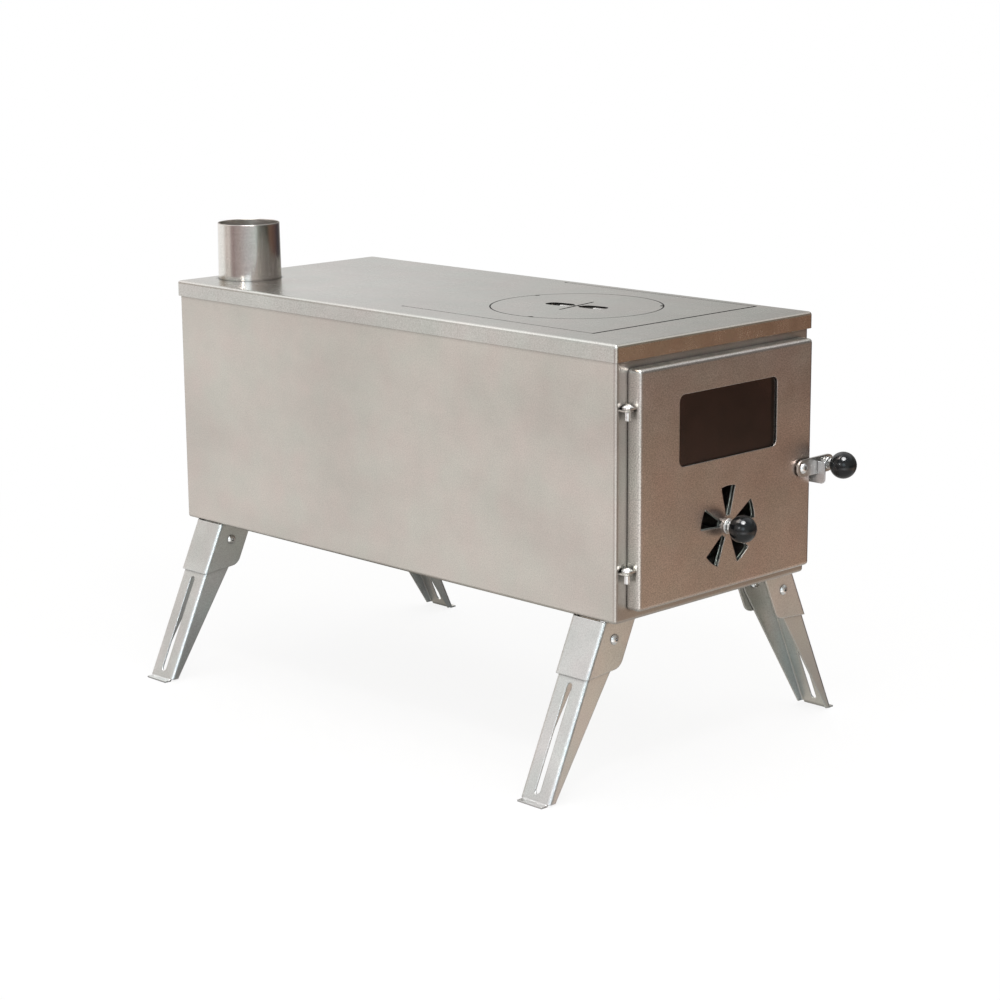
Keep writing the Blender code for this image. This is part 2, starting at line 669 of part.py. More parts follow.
def glass_retainer():
    """A joggled sheet frame: its outer flange lies on the door, its inner edge on the glass."""
    width, height = glass_size()
    centre = (DOOR_CENTRE_X, WINDOW_HEIGHT_CENTRE)
    front = DOOR_INSIDE_Y + SEAT_GAP
    back = front + GLASS_THICKNESS + SEAT_GAP + RETAINER_SHEET
    pocket = 2 * SEAT_GAP
    wall = pocket + 2 * RETAINER_SHEET
    flange = wall + 2 * RETAINER_FLANGE
    base = prism(rectangle(width + flange, height + flange, 2 * SHEET, centre, 2),
                 front, front + RETAINER_SHEET, "Y")
    hat = prism(rectangle(width + wall, height + wall, 2 * SHEET, centre, 2), front, back, "Y")
    recess = prism(rectangle(width + pocket, height + pocket, SHEET, centre, 2),
                   front - PAST, back - RETAINER_SHEET, "Y")
    sight = prism(rectangle(WINDOW_WIDTH + RETAINER_LIP, WINDOW_HEIGHT + RETAINER_LIP,
                            WINDOW_CORNER, centre), front - PAST, back + PAST, "Y")
    return cut(join(base, hat), recess, sight)


def damper_face():
    """Level in Y of the damper disc's front, behind its spacer."""
    return DOOR_INSIDE_Y + 2 * SEAT_GAP + DAMPER_SPACER


def damper_disc():
    low = damper_face()
    disc = prism(circle(DAMPER_RADIUS, (DOOR_CENTRE_X, VENT_HEIGHT), 48),
                 low, low + DAMPER_SHEET, "Y")
    hole = rod(SCREW_HOLE, low - PAST, low + PAST, (DOOR_CENTRE_X, 0, VENT_HEIGHT), "Y")
    return cut(disc, hole, *vent_sectors(low - PAST, low + PAST))


def damper_spindle():
    """A stud with a hexagon head behind the disc."""
    seat = damper_face() + DAMPER_SHEET + SEAT_GAP
    centre = (DOOR_CENTRE_X, 0, VENT_HEIGHT)
    head = prism(hexagon(NUT_FLATS, (DOOR_CENTRE_X, VENT_HEIGHT)), seat, seat + SPINDLE_HEAD,
                 "Y")
    tip = DOOR_FACE_Y - DAMPER_STEM - BALL_BORE_DEPTH + 2 * SEAT_GAP
    return join(head, rod(SCREW_RADIUS, tip, seat + SHEET, centre, "Y"))


def damper_spacer():
    """A thin ring that keeps the disc off the door."""
    return ring(SPACER_RADIUS, SCREW_HOLE, DOOR_INSIDE_Y + SEAT_GAP, damper_face() - SEAT_GAP,
                (DOOR_CENTRE_X, 0, VENT_HEIGHT), "Y", 20)


def damper_washer():
    back = DOOR_FACE_Y - SEAT_GAP
    return ring(WASHER_RADIUS, SCREW_HOLE, back - WASHER_THICKNESS, back,
                (DOOR_CENTRE_X, 0, VENT_HEIGHT), "Y", 24)


def damper_nut():
    back = DOOR_FACE_Y - WASHER_THICKNESS - 2 * SEAT_GAP
    return nut((DOOR_CENTRE_X, 0, VENT_HEIGHT), "Y", back - NUT_HEIGHT, back)


def ball_knob(x, z, base):
    """A ball with a small flat at its base and a blind bore for its stud, along Y."""
    middle = base - BALL_FLAT
    start = math.asin(BALL_FLAT_RADIUS / BALL_RADIUS)
    steps = 11
    angles = [start + (math.pi - start) * k / steps for k in range(steps)]
    shell = [(BALL_RADIUS * math.sin(a), middle + BALL_RADIUS * math.cos(a)) for a in angles]
    bore = [(0, base - BALL_BORE_DEPTH), (SCREW_HOLE, base - BALL_BORE_DEPTH),
            (SCREW_HOLE, base)]
    return turned(bore + shell + [(0, middle - BALL_RADIUS)], (x, 0, z), "Y", 28)


def latch_bar():
    outline = obround((LATCH_X, LATCH_HEIGHT), (KNOB_X, LATCH_HEIGHT), LATCH_BAR_HALF, 10)
    bar = prism(outline, LATCH_FACE_Y, LATCH_BACK_Y, "Y")
    holes = [rod(SCREW_HOLE, LATCH_FACE_Y - PAST, LATCH_BACK_Y + PAST, (x, 0, LATCH_HEIGHT), "Y")
             for x in (LATCH_X, KNOB_X)]
    return cut(bar, *holes)


def latch_knob_stem():
    """The stud that carries the ball. Its head behind the bar is as thin as the spacer, so
    that it passes over the door when the latch is lifted."""
    seat = LATCH_BACK_Y + SEAT_GAP
    tip = LATCH_FACE_Y - LATCH_STEM - BALL_BORE_DEPTH + 2 * SEAT_GAP
    back = seat + LATCH_SPACER
    profile = [(0, back), (HEAD_RADIUS, back), (HEAD_RADIUS, seat),
               (SCREW_RADIUS, seat), (SCREW_RADIUS, tip), (0, tip)]
    return turned(profile, (KNOB_X, 0, LATCH_HEIGHT), "Y", 16)


def latch_knob_washer():
    back = LATCH_FACE_Y - SEAT_GAP
    return ring(KNOB_WASHER_RADIUS, SCREW_HOLE, back - WASHER_THICKNESS, back,
                (KNOB_X, 0, LATCH_HEIGHT), "Y", 24)


def latch_knob_nut():
    back = LATCH_FACE_Y - WASHER_THICKNESS - 2 * SEAT_GAP
    return nut((KNOB_X, 0, LATCH_HEIGHT), "Y", back - NUT_HEIGHT, back)


def latch_pivot_screw():
    return domed_screw((LATCH_X, LATCH_FACE_Y - SEAT_GAP, LATCH_HEIGHT), "Y", -1,
                       DOOR_INSIDE_Y + 2 * SEAT_GAP + NUT_HEIGHT - LATCH_FACE_Y)


def latch_spacer():
    return ring(SPACER_RADIUS, SCREW_HOLE, DOOR_FACE_Y - SEAT_GAP - LATCH_SPACER,
                DOOR_FACE_Y - SEAT_GAP, (LATCH_X, 0, LATCH_HEIGHT), "Y", 20)


def latch_catch():
    """A notched hook plate through the front frame, with a foot behind the frame."""
    tip = LATCH_FACE_Y - CATCH_NOTCH_GAP - CATCH_PRONG
    notch_low = LATCH_HEIGHT - LATCH_BAR_HALF - SEAT_GAP
    notch = (LATCH_FACE_Y - CATCH_NOTCH_GAP, LATCH_BACK_Y + CATCH_NOTCH_GAP)
    heel = FRONT_Y + SHEET + SEAT_GAP
    back = heel + CATCH_SHEET
    outline = filleted([(back, CATCH_BOTTOM, 0), (back, CATCH_TOP, 0),
                        (notch[1], CATCH_TOP, 0), (notch[1], notch_low, 0),
                        (notch[0], notch_low, 0), (notch[0], CATCH_TOP, 0),
                        (tip, CATCH_TOP, SHEET), (tip, CATCH_BOTTOM, CATCH_CORNER)])
    plate = prism(outline, CATCH_X - CATCH_SHEET / 2, CATCH_X + CATCH_SHEET / 2, "X")
    foot = block((CATCH_X + CATCH_SHEET / 2 - CATCH_FOOT, heel, CATCH_BOTTOM),
                 (CATCH_X + CATCH_SHEET / 2, back, CATCH_TOP))
    return join(plate, foot)


def leg_point(outward, level):
    """A point of the leg's own frame, given its distance from the pivot square to the web and
    its level above the pivot in the upright frame."""
    return (outward, (level - outward * math.sin(SPLAY)) / math.cos(SPLAY))


def channel(web, width, depth, low, high):
    """A channel along Z, open toward -X, with its web's outer face at the given level in X."""
    outer = block((web - depth, -width / 2, low), (web, width / 2, high), FOLD_RADIUS,
                  ("-X", "-Z", "+Z"))
    inner = block((web - depth - PAST, -width / 2 + SHEET, low - PAST),
                  (web - SHEET, width / 2 - SHEET, high + PAST), FOLD_RADIUS - SHEET,
                  ("-X", "-Z", "+Z"))
    return cut(outer, inner)


def pivot_hole(width):
    return rod(SCREW_HOLE, -width, width, (0, 0, 0), "Y")


def leg_bracket():
    """The fixed channel under a corner of the firebox, drawn about the leg's pivot."""
    reach = BRACKET_FLANGE + BRACKET_DROP
    body = channel(BRACKET_TO_PIVOT, BRACKET_WIDTH, BRACKET_FLANGE, -reach, reach)
    top = PIVOT_DROP - SEAT_GAP
    bottom = PIVOT_DROP - BRACKET_DROP
    inner = BRACKET_TO_PIVOT - BRACKET_FLANGE
    outer = BRACKET_TO_PIVOT + PAST
    corners = [(*leg_point(outer, top), 0), (*leg_point(inner - PAST, top), 0),
               (*leg_point(inner - PAST, PIVOT_DROP - FOLD_RADIUS), 0),
               (*leg_point(inner, PIVOT_DROP - FOLD_RADIUS), 0),
               (*leg_point(inner, bottom + BRACKET_INNER_RISE), BRACKET_CORNER),
               (*leg_point(outer, bottom), 0)]
    trimmed = common(body, prism(filleted(corners, 6), -BRACKET_WIDTH, BRACKET_WIDTH, "Y"))
    return cut(trimmed, pivot_hole(BRACKET_WIDTH))


def leg_outline():
    """Side view of a leg in its own frame: round crown, tapered free edge, cut-off foot."""
    ground = PIVOT_DROP - GROUND_DROP
    crown = arc((0, 0), LEG_WEB, 0, LEG_CROWN_END, 9)
    free_top = (LEG_WEB - LEG_FLANGE_TOP, 0)
    free_foot = leg_point(LEG_WEB - LEG_FLANGE_FOOT, ground + FLANGE_FOOT_GAP)
    web_foot = leg_point(LEG_WEB + PAST, ground + FLANGE_FOOT_GAP)
    return [(LEG_WEB + PAST, 0)] + crown + [free_top, free_foot, web_foot]


def foot_lip():
    """The end of the web, bent out flat on the ground."""
    ground = PIVOT_DROP - GROUND_DROP
    heel = leg_point(LEG_WEB - SHEET, ground)
    shoulder = leg_point(LEG_WEB, ground + SHEET)
    reach = heel[0] + FOOT_LIP * math.cos(SPLAY)
    toe_low = leg_point(reach + SHEET, ground)
    toe_high = (toe_low[0] + SHEET * math.sin(SPLAY), toe_low[1] + SHEET * math.cos(SPLAY))
    up = heel[1] + 4 * SHEET
    outline = filleted([(LEG_WEB - SHEET, up, 0), (*heel, 0), (*toe_low, 0), (*toe_high, 0),
                        (*shoulder, FOOT_BEND), (LEG_WEB, up, 0)])
    half = LEG_WIDTH / 2 - FOLD_RADIUS
    return prism(outline, -half, half, "Y")


def leg():
    """A tapered, slotted channel drawn about its pivot, for the +X side."""
    body = channel(LEG_WEB, LEG_WIDTH, LEG_FLANGE_TOP + PAST, -GROUND_DROP - 2 * PAST,
                   BRACKET_FLANGE)
    trimmed = common(body, prism(leg_outline(), -LEG_WIDTH, LEG_WIDTH, "Y"))
    half = LEG_SLOT_WIDTH / 2
    slot = prism(obround((0, -LEG_SLOT_BOTTOM + half), (0, -LEG_SLOT_TOP - half), half),
                 LEG_WEB - 2 * SHEET, LEG_WEB + PAST, "X")
    return cut(join(trimmed, foot_lip()), slot, pivot_hole(LEG_WIDTH))


def leg_places():
    """Name, pivot place and outward side of each leg."""
    return [(f"{end}_{side}", (x * PIVOT_X, y * LEG_STATION, -PIVOT_DROP), x)
            for end, y in (("front", -1), ("rear", 1)) for side, x in (("left", -1), ("right", 1))]


def leg_screw():
    """A leg's pivot screw with its head outside the bracket, drawn about the pivot."""
    seat = BRACKET_WIDTH / 2 + SEAT_GAP
    tip = LEG_WIDTH / 2 - SHEET - NUT_HEIGHT - 2 * SEAT_GAP
    return domed_screw((0, seat, 0), "Y", 1, seat - tip)


def leg_nut():
    """The nut of that screw, inside the leg."""
    high = LEG_WIDTH / 2 - SHEET - SEAT_GAP
    return nut((0, 0, 0), "Y", high - NUT_HEIGHT, high)


def build():
    clear_scene()
    steel = material("satin_steel", (0.60, 0.58, 0.55), 0.42, 1.0)
    plate_steel = material("plate_steel", (0.55, 0.55, 0.53), 0.46, 1.0)
    fire_steel = material("fire_steel", (0.30, 0.29, 0.28), 0.60, 1.0)
    bright_steel = material("bright_steel", (0.78, 0.78, 0.77), 0.22, 1.0)
    phenolic = material("black_phenolic", (0.012, 0.012, 0.014), 0.16, 0.0)
    glass = material("door_glass", (0.045, 0.030, 0.025), 0.06, 0.0, 0.85)

    centring = -(FRONT_REACH + REAR_REACH) / 2
    stove = Group("stove", (0, 0, 0))
    stove.empty.location = (0, centring, GROUND_DROP)
    stove.add("body_shell", body_shell(), steel)
    stove.add("rear_panel", rear_panel(), steel)
    stove.add("top_cover", top_cover(), plate_steel)
    stove.add("hotplate_ledge", hotplate_ledge(), fire_steel)
    stove.add("flue_collar", flue_collar(), steel)
    stove.add("fire_grate", fire_grate(), fire_steel)
    stove.add("hinge_pin_lower", hinge_pin(HINGE_HEIGHTS[0]), bright_steel)
    stove.add("hinge_pin_upper", hinge_pin(HINGE_HEIGHTS[1]), bright_steel)
    stove.add("latch_catch", latch_catch(), steel)

    hob = Group("hotplate_axis", (HOTPLATE_X, HOTPLATE_Y, LID_TOP), stove)
    hob.add("hotplate", hotplate(), plate_steel)

    door = Group("door_axis", (PIN_X, PIN_Y, DOOR_BOTTOM), stove)
    door.add("door_pan", door_pan(), steel)
    door.add("window_glass", window_glass(), glass)
    door.add("glass_retainer", glass_retainer(), steel)
    door.add("latch_spacer", latch_spacer(), bright_steel)
    door.add("latch_pivot_screw", latch_pivot_screw(), bright_steel)
    nut_low = DOOR_INSIDE_Y + SEAT_GAP
    door.add("latch_pivot_nut", nut((LATCH_X, 0, LATCH_HEIGHT), "Y", nut_low,
                                    nut_low + NUT_HEIGHT), bright_steel)

    damper = Group("damper_axis", (DOOR_CENTRE_X, DOOR_FACE_Y, VENT_HEIGHT), door)
    damper.add("damper_disc", damper_disc(), steel)
    damper.add("damper_spindle", damper_spindle(), bright_steel)
    damper.add("damper_spacer", damper_spacer(), bright_steel)
    damper.add("damper_washer", damper_washer(), bright_steel)
    damper.add("damper_nut", damper_nut(), bright_steel)
    damper.add("damper_knob", ball_knob(DOOR_CENTRE_X, VENT_HEIGHT, DOOR_FACE_Y - DAMPER_STEM),
               phenolic)

    latch = Group("latch_axis", (LATCH_X, LATCH_FACE_Y, LATCH_HEIGHT), door)
    latch.add("latch_bar", latch_bar(), steel)
    latch.add("latch_knob_stem", latch_knob_stem(), bright_steel)
    latch.add("latch_knob_washer", latch_knob_washer(), bright_steel)
    latch.add("latch_knob_nut", latch_knob_nut(), bright_steel)
    latch.add("latch_knob", ball_knob(KNOB_X, LATCH_HEIGHT, LATCH_FACE_Y - LATCH_STEM), phenolic)

    bracket_mesh, leg_mesh = leg_bracket(), leg()
    screw_mesh, nut_mesh = leg_screw(), leg_nut()
    for name, place, side in leg_places():
        turn = (0, -SPLAY, 0 if side > 0 else math.pi)
        stove.hang(f"leg_bracket_{name}", bracket_mesh, steel, place, turn)
        stove.hang(f"leg_{name}", leg_mesh, steel, place, turn)
        for end, facing in (("front", math.pi), ("rear", 0)):
            turn = (0, 0, facing)
            stove.hang(f"leg_screw_{name}_{end}", screw_mesh, bright_steel, place, turn)
            stove.hang(f"leg_nut_{name}_{end}", nut_mesh, bright_steel, place, turn)


build()
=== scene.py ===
"""Looks of the camping wood stove: finishes for its folded sheet, turned and milled hardware,
glossy ball knobs, and a pale studio with the camera of the reference view."""

import math

import bmesh
import bpy
from bpy.props import FloatProperty, FloatVectorProperty, IntProperty, PointerProperty
from mathutils import Matrix, Vector


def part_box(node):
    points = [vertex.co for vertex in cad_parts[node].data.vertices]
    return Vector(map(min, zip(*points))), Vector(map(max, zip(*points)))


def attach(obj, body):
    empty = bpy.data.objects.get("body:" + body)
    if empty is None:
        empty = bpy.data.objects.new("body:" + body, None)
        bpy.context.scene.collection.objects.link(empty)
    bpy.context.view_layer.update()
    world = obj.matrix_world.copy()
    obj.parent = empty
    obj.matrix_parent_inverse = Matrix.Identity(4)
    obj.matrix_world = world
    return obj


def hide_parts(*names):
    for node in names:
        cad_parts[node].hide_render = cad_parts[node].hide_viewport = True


bl_info = {
    "name": "Camping Wood Stove",
    "version": (1, 0, 0),
    "blender": (4, 5, 0),
    "location": "3D View > Sidebar > Stove",
    "description": "Dresses a folding wood stove in steel, glass and phenolic finishes",
    "category": "Object",
}

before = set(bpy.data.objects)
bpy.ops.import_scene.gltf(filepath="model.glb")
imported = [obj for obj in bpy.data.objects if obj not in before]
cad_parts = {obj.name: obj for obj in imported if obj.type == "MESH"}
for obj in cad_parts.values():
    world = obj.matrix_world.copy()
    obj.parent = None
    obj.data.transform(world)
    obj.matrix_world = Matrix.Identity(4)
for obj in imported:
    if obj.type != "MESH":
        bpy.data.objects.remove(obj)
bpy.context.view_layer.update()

CORNERS = ("front_left", "front_right", "rear_left", "rear_right")

# Sizes in metres of the M5 hardware. A leg screw's head is as wide as its CAD node
SHANK_RADIUS = 0.0025
HEAD_RADIUS = 0.0049
HEAD_HEIGHT = 0.0028
BORE_RADIUS = 0.0029
NUT_FLATS = 0.008
NUT_BEVEL = math.radians(30)

# Degrees that the legs lean outwards
LEG_SPLAY = 24.8

# Edges that turn by more than this stay sharp when a turned piece is shaded
SHARP_ANGLE = math.radians(34)

# Features per metre of the patterns in rolled sheet, from wide clouds to fine speckle
CLOUD_SCALE = 14.0
HUE_SCALE = 26.0
SMUDGE_SCALE = 44.0
SPECKLE_SCALE = 900.0

# How much longer than wide the rolling marks are, and how deep they lie
MARK_STRETCH = 60
MARK_DEPTH = 0.000004

# Painted shade: the gap round the hotplate and the walls of narrow cuts are painted this dark, and
# the walls are painted dark to this depth
PAINTED_CUT_AND_GAP_SHADE = (0.012, 0.011, 0.010)
CUT_DEPTH = 0.0013
CUT_BLUR = 0.0002

# The ring of painted shade that widens the dark gap round the hotplate: how far outside its edge,
# and half its width
GAP_SHADE_OFFSET = 0.00045
GAP_SHADE_HALF_WIDTH = 0.0008

# Thickness of the hotplate, and the near-white colour painted on the tongues that lie under it as a
# painted highlight
PLATE_GAUGE = 0.002
PLATE_BLUR = 0.00006
TONGUE_HIGHLIGHT_COLOUR = (0.93, 0.93, 0.92)

# The lid and the hotplate are smoother than the rest and have crisper edges
LID_ROUGHNESS = 0.25
LID_EDGE = 0.0001

# Steps round the flue collar
FLUE_STEPS = 120

WHITE = (1.0, 1.0, 1.0)

# The white floor lies a little under the feet and the shaded one a little over it
FLOOR_LEVEL = -0.0002
PAD_LEVEL = 0.0001

# Keeps the X and Y parts of a vector and drops its height
LEVEL_ONLY = (1.0, 1.0, 0.0)


def colour_property(name, description, default):
    return FloatVectorProperty(name=name, description=description, default=default, size=3,
                               min=0.0, max=1.0, subtype="COLOR")


def length_property(name, description, default):
    return FloatProperty(name=name, description=description, default=default, min=0.0,
                         unit="LENGTH", precision=5)


def factor_property(name, description, default):
    return FloatProperty(name=name, description=description, default=default, min=0.0,
                         max=1.0, subtype="FACTOR")


def angle_property(name, description, degrees):
    return FloatProperty(name=name, description=description, default=math.radians(degrees),
                         subtype="ANGLE")


class SheetSettings(bpy.types.PropertyGroup):
    body_colour: colour_property("Body", "Folded firebox sheet", (0.615, 0.578, 0.532))
    lid_colour: colour_property("Lid", "Lid and hotplate", (0.60, 0.59, 0.56))
    # Painted reflection: the firebox's front takes a darker copy of the body's colour
    post_reflection_colour: colour_property("Posts", "Front of the firebox", (0.52, 0.49, 0.46))
    # Painted reflection: the door's front is toned brown like the warm room it faces, and its top
    # is toned cooler
    door_front_reflection_colour: colour_property("Door", "Front of the door, toned by heat", (0.62, 0.53, 0.475))
    door_top_reflection_colour: colour_property("Door's top", "Cooler tone at its top", (0.585, 0.55, 0.53))
    wall_colour: colour_property("Door walls", "Folded sides of the door", (0.66, 0.63, 0.59))
    # Painted reflection: the lid's front skirt is toned brown like the warm room it faces
    skirt_reflection_colour: colour_property("Skirt", "Front of the lid, toned by heat", (0.70, 0.585, 0.475))
    flue_colour: colour_property("Flue collar", "Rolled and polished tube", (0.69, 0.65, 0.61))
    leg_colour: colour_property("Left legs", "Legs and brackets, left side",
                                (0.75, 0.755, 0.745))
    # Painted shade: the right legs take a darker, warmer copy of the left legs' colour
    leg_right_shade_colour: colour_property("Right legs", "Legs and brackets, right side",
                                      (0.72, 0.69, 0.63))
    # Painted reflection: the legs' lower front flanges are toned like the pale floor they mirror
    flange_reflection_colour: colour_property("Flanges", "Lower front flanges of the legs", (0.84, 0.89, 0.92))
    # Painted shade and reflection: the right legs' front flanges are darker than the left ones
    flange_right_shade_colour: colour_property("Right flanges", "Lower front flanges, right side",
                                         (0.57, 0.65, 0.70))
    # Painted reflection: the front flanges near the body are toned apart from the lower ones
    flange_top_reflection_colour: colour_property("Flange tops", "Front flanges near the body",
                                       (0.84, 0.88, 0.88))
    bar_colour: colour_property("Latch bar", "Bar that carries the knob", (0.58, 0.57, 0.54))
    hook_colour: colour_property("Hook plate", "Plate that the bar drops into", (0.80, 0.82, 0.84))
    disc_colour: colour_property("Air disc", "Dull sheet behind the vent", (0.62, 0.65, 0.60))
    fire_colour: colour_property("Fire side", "Grate and ledge inside", (0.30, 0.29, 0.28))
    roughness: factor_property("Roughness", "Satin of the rolled sheet", 0.34)
    mottling: factor_property("Mottling", "Cloudy variation of tone", 0.09)
    grain_width: length_property("Grain", "Width of the rolling marks", 0.0006)
    edge_radius: length_property("Edge", "Softness of cut edges and folds", 0.0010)


class HardwareSettings(bpy.types.PropertyGroup):
    colour: colour_property("Steel", "Bright screws, nuts and washers", (0.86, 0.86, 0.85))
    roughness: factor_property("Roughness", "Polish of the screws", 0.28)
    socket_flats: length_property("Socket", "Hexagon socket across flats", 0.003)
    socket_depth: length_property("Socket depth", "Depth of the socket", 0.0016)
    thread_pitch: length_property("Pitch", "Thread pitch", 0.0008)
    thread_depth: length_property("Thread depth", "Crest to root", 0.0003)
    segments: IntProperty(name="Segments", description="Steps round each fastener",
                          default=36, min=12)


class KnobSettings(bpy.types.PropertyGroup):
    colour: colour_property("Phenolic", "Black moulded balls", (0.010, 0.011, 0.012))
    roughness: factor_property("Roughness", "Gloss of the balls", 0.11)
    segments: IntProperty(name="Segments", description="Steps round each ball", default=72,
                          min=24)


class GlassSettings(bpy.types.PropertyGroup):
    tint: colour_property("Tint", "Smoked ceramic glass", (0.24, 0.105, 0.07))
    roughness: factor_property("Roughness", "Polish of the glass", 0.03)


class StageSettings(bpy.types.PropertyGroup):
    azimuth: angle_property("Azimuth", "Camera's turn round the stove", -44.638)
    elevation: angle_property("Elevation", "Camera's height above the horizon", 12.803)
    roll: angle_property("Roll", "Camera's tilt about its view", -0.400)
    lens: FloatProperty(name="Lens", description="Focal length", default=88.27,
                        subtype="DISTANCE_CAMERA")
    eye: FloatVectorProperty(name="Eye", description="Camera's place", size=3, unit="LENGTH",
                             default=(-1.62434, -1.64924, 0.72437))
    floor_size: length_property("Floor", "Side of the square floor", 12.0)
    world_level: factor_property("World", "Level of the soft light on all sides", 0.85)
    under_colour: colour_property("Under", "Straight below, in the mirrored room",
                                  (0.60, 0.59, 0.57))
    # Painted shadow: the floor under the stove as steel mirrors it, deeper under its rear end
    shade_colour: colour_property("Shade", "Floor under the stove, as steel mirrors it",
                                  (0.42, 0.41, 0.38))
    deep_shade_colour: colour_property("Deep shade", "Floor under its rear end",
                                       (0.19, 0.18, 0.165))


def settings(kind):
    return getattr(bpy.context.scene, "stove_" + kind)


def add_node(tree, kind, **values):
    """A new node with its settings and, for names with a capital, its input values."""
    node = tree.nodes.new(kind)
    for key, value in values.items():
        if key in node.inputs:
            node.inputs[key].default_value = value
        else:
            setattr(node, key, value)
    return node


def feed(tree, socket, value):
    """Give an input a plain value or the output of another node."""
    if isinstance(value, bpy.types.NodeSocket):
        tree.links.new(value, socket)
    else:
        socket.default_value = value


def feed_colour(tree, socket, colour):
    """Give a colour input a plain colour or the output of another node."""
    feed(tree, socket, (*colour, 1.0) if isinstance(colour, tuple) else colour)


def maths(tree, operation, *values):
    """The result of maths on plain numbers and outputs of other nodes."""
    node = add_node(tree, "ShaderNodeMath", operation=operation)
    for socket, value in zip(node.inputs, values):
        feed(tree, socket, value)
    return node.outputs["Value"]


def vector_maths(tree, operation, *values):
    """The result of vector maths on plain vectors and outputs of other nodes."""
    node = add_node(tree, "ShaderNodeVectorMath", operation=operation)
    for socket, value in zip(node.inputs, values):
        feed(tree, socket, value)
    return node.outputs["Value" if operation in ("LENGTH", "DOT_PRODUCT") else "Vector"]


def vector_part(tree, vector, axis):
    """The X, Y or Z part of a vector."""
    parts = add_node(tree, "ShaderNodeSeparateXYZ")
    tree.links.new(vector, parts.inputs["Vector"])
    return parts.outputs[axis]


def eased(tree, level, low, high):
    """A number that goes smoothly from 0 to 1 as a level goes from low to high."""
    ease = add_node(tree, "ShaderNodeMapRange", interpolation_type="SMOOTHSTEP")
    ease.inputs["From Min"].default_value = low
    ease.inputs["From Max"].default_value = high
    tree.links.new(level, ease.inputs["Value"])
    return ease.outputs["Result"]


def mixed_colours(tree, factor, first, second):
    """The first colour where the factor is 0 and the second where it is 1."""
    mix = add_node(tree, "ShaderNodeMix", data_type="RGBA")
    tree.links.new(factor, mix.inputs["Factor"])
    sockets = [socket for socket in mix.inputs if socket.type == "RGBA"]
    for socket, colour in zip(sockets, (first, second)):
        feed_colour(tree, socket, colour)
    return [socket for socket in mix.outputs if socket.type == "RGBA"][0]


def blend_colours(tree, level, low, high, first, second):
    """From the first colour to the second as a level goes from low to high."""
    return mixed_colours(tree, eased(tree, level, low, high), first, second)


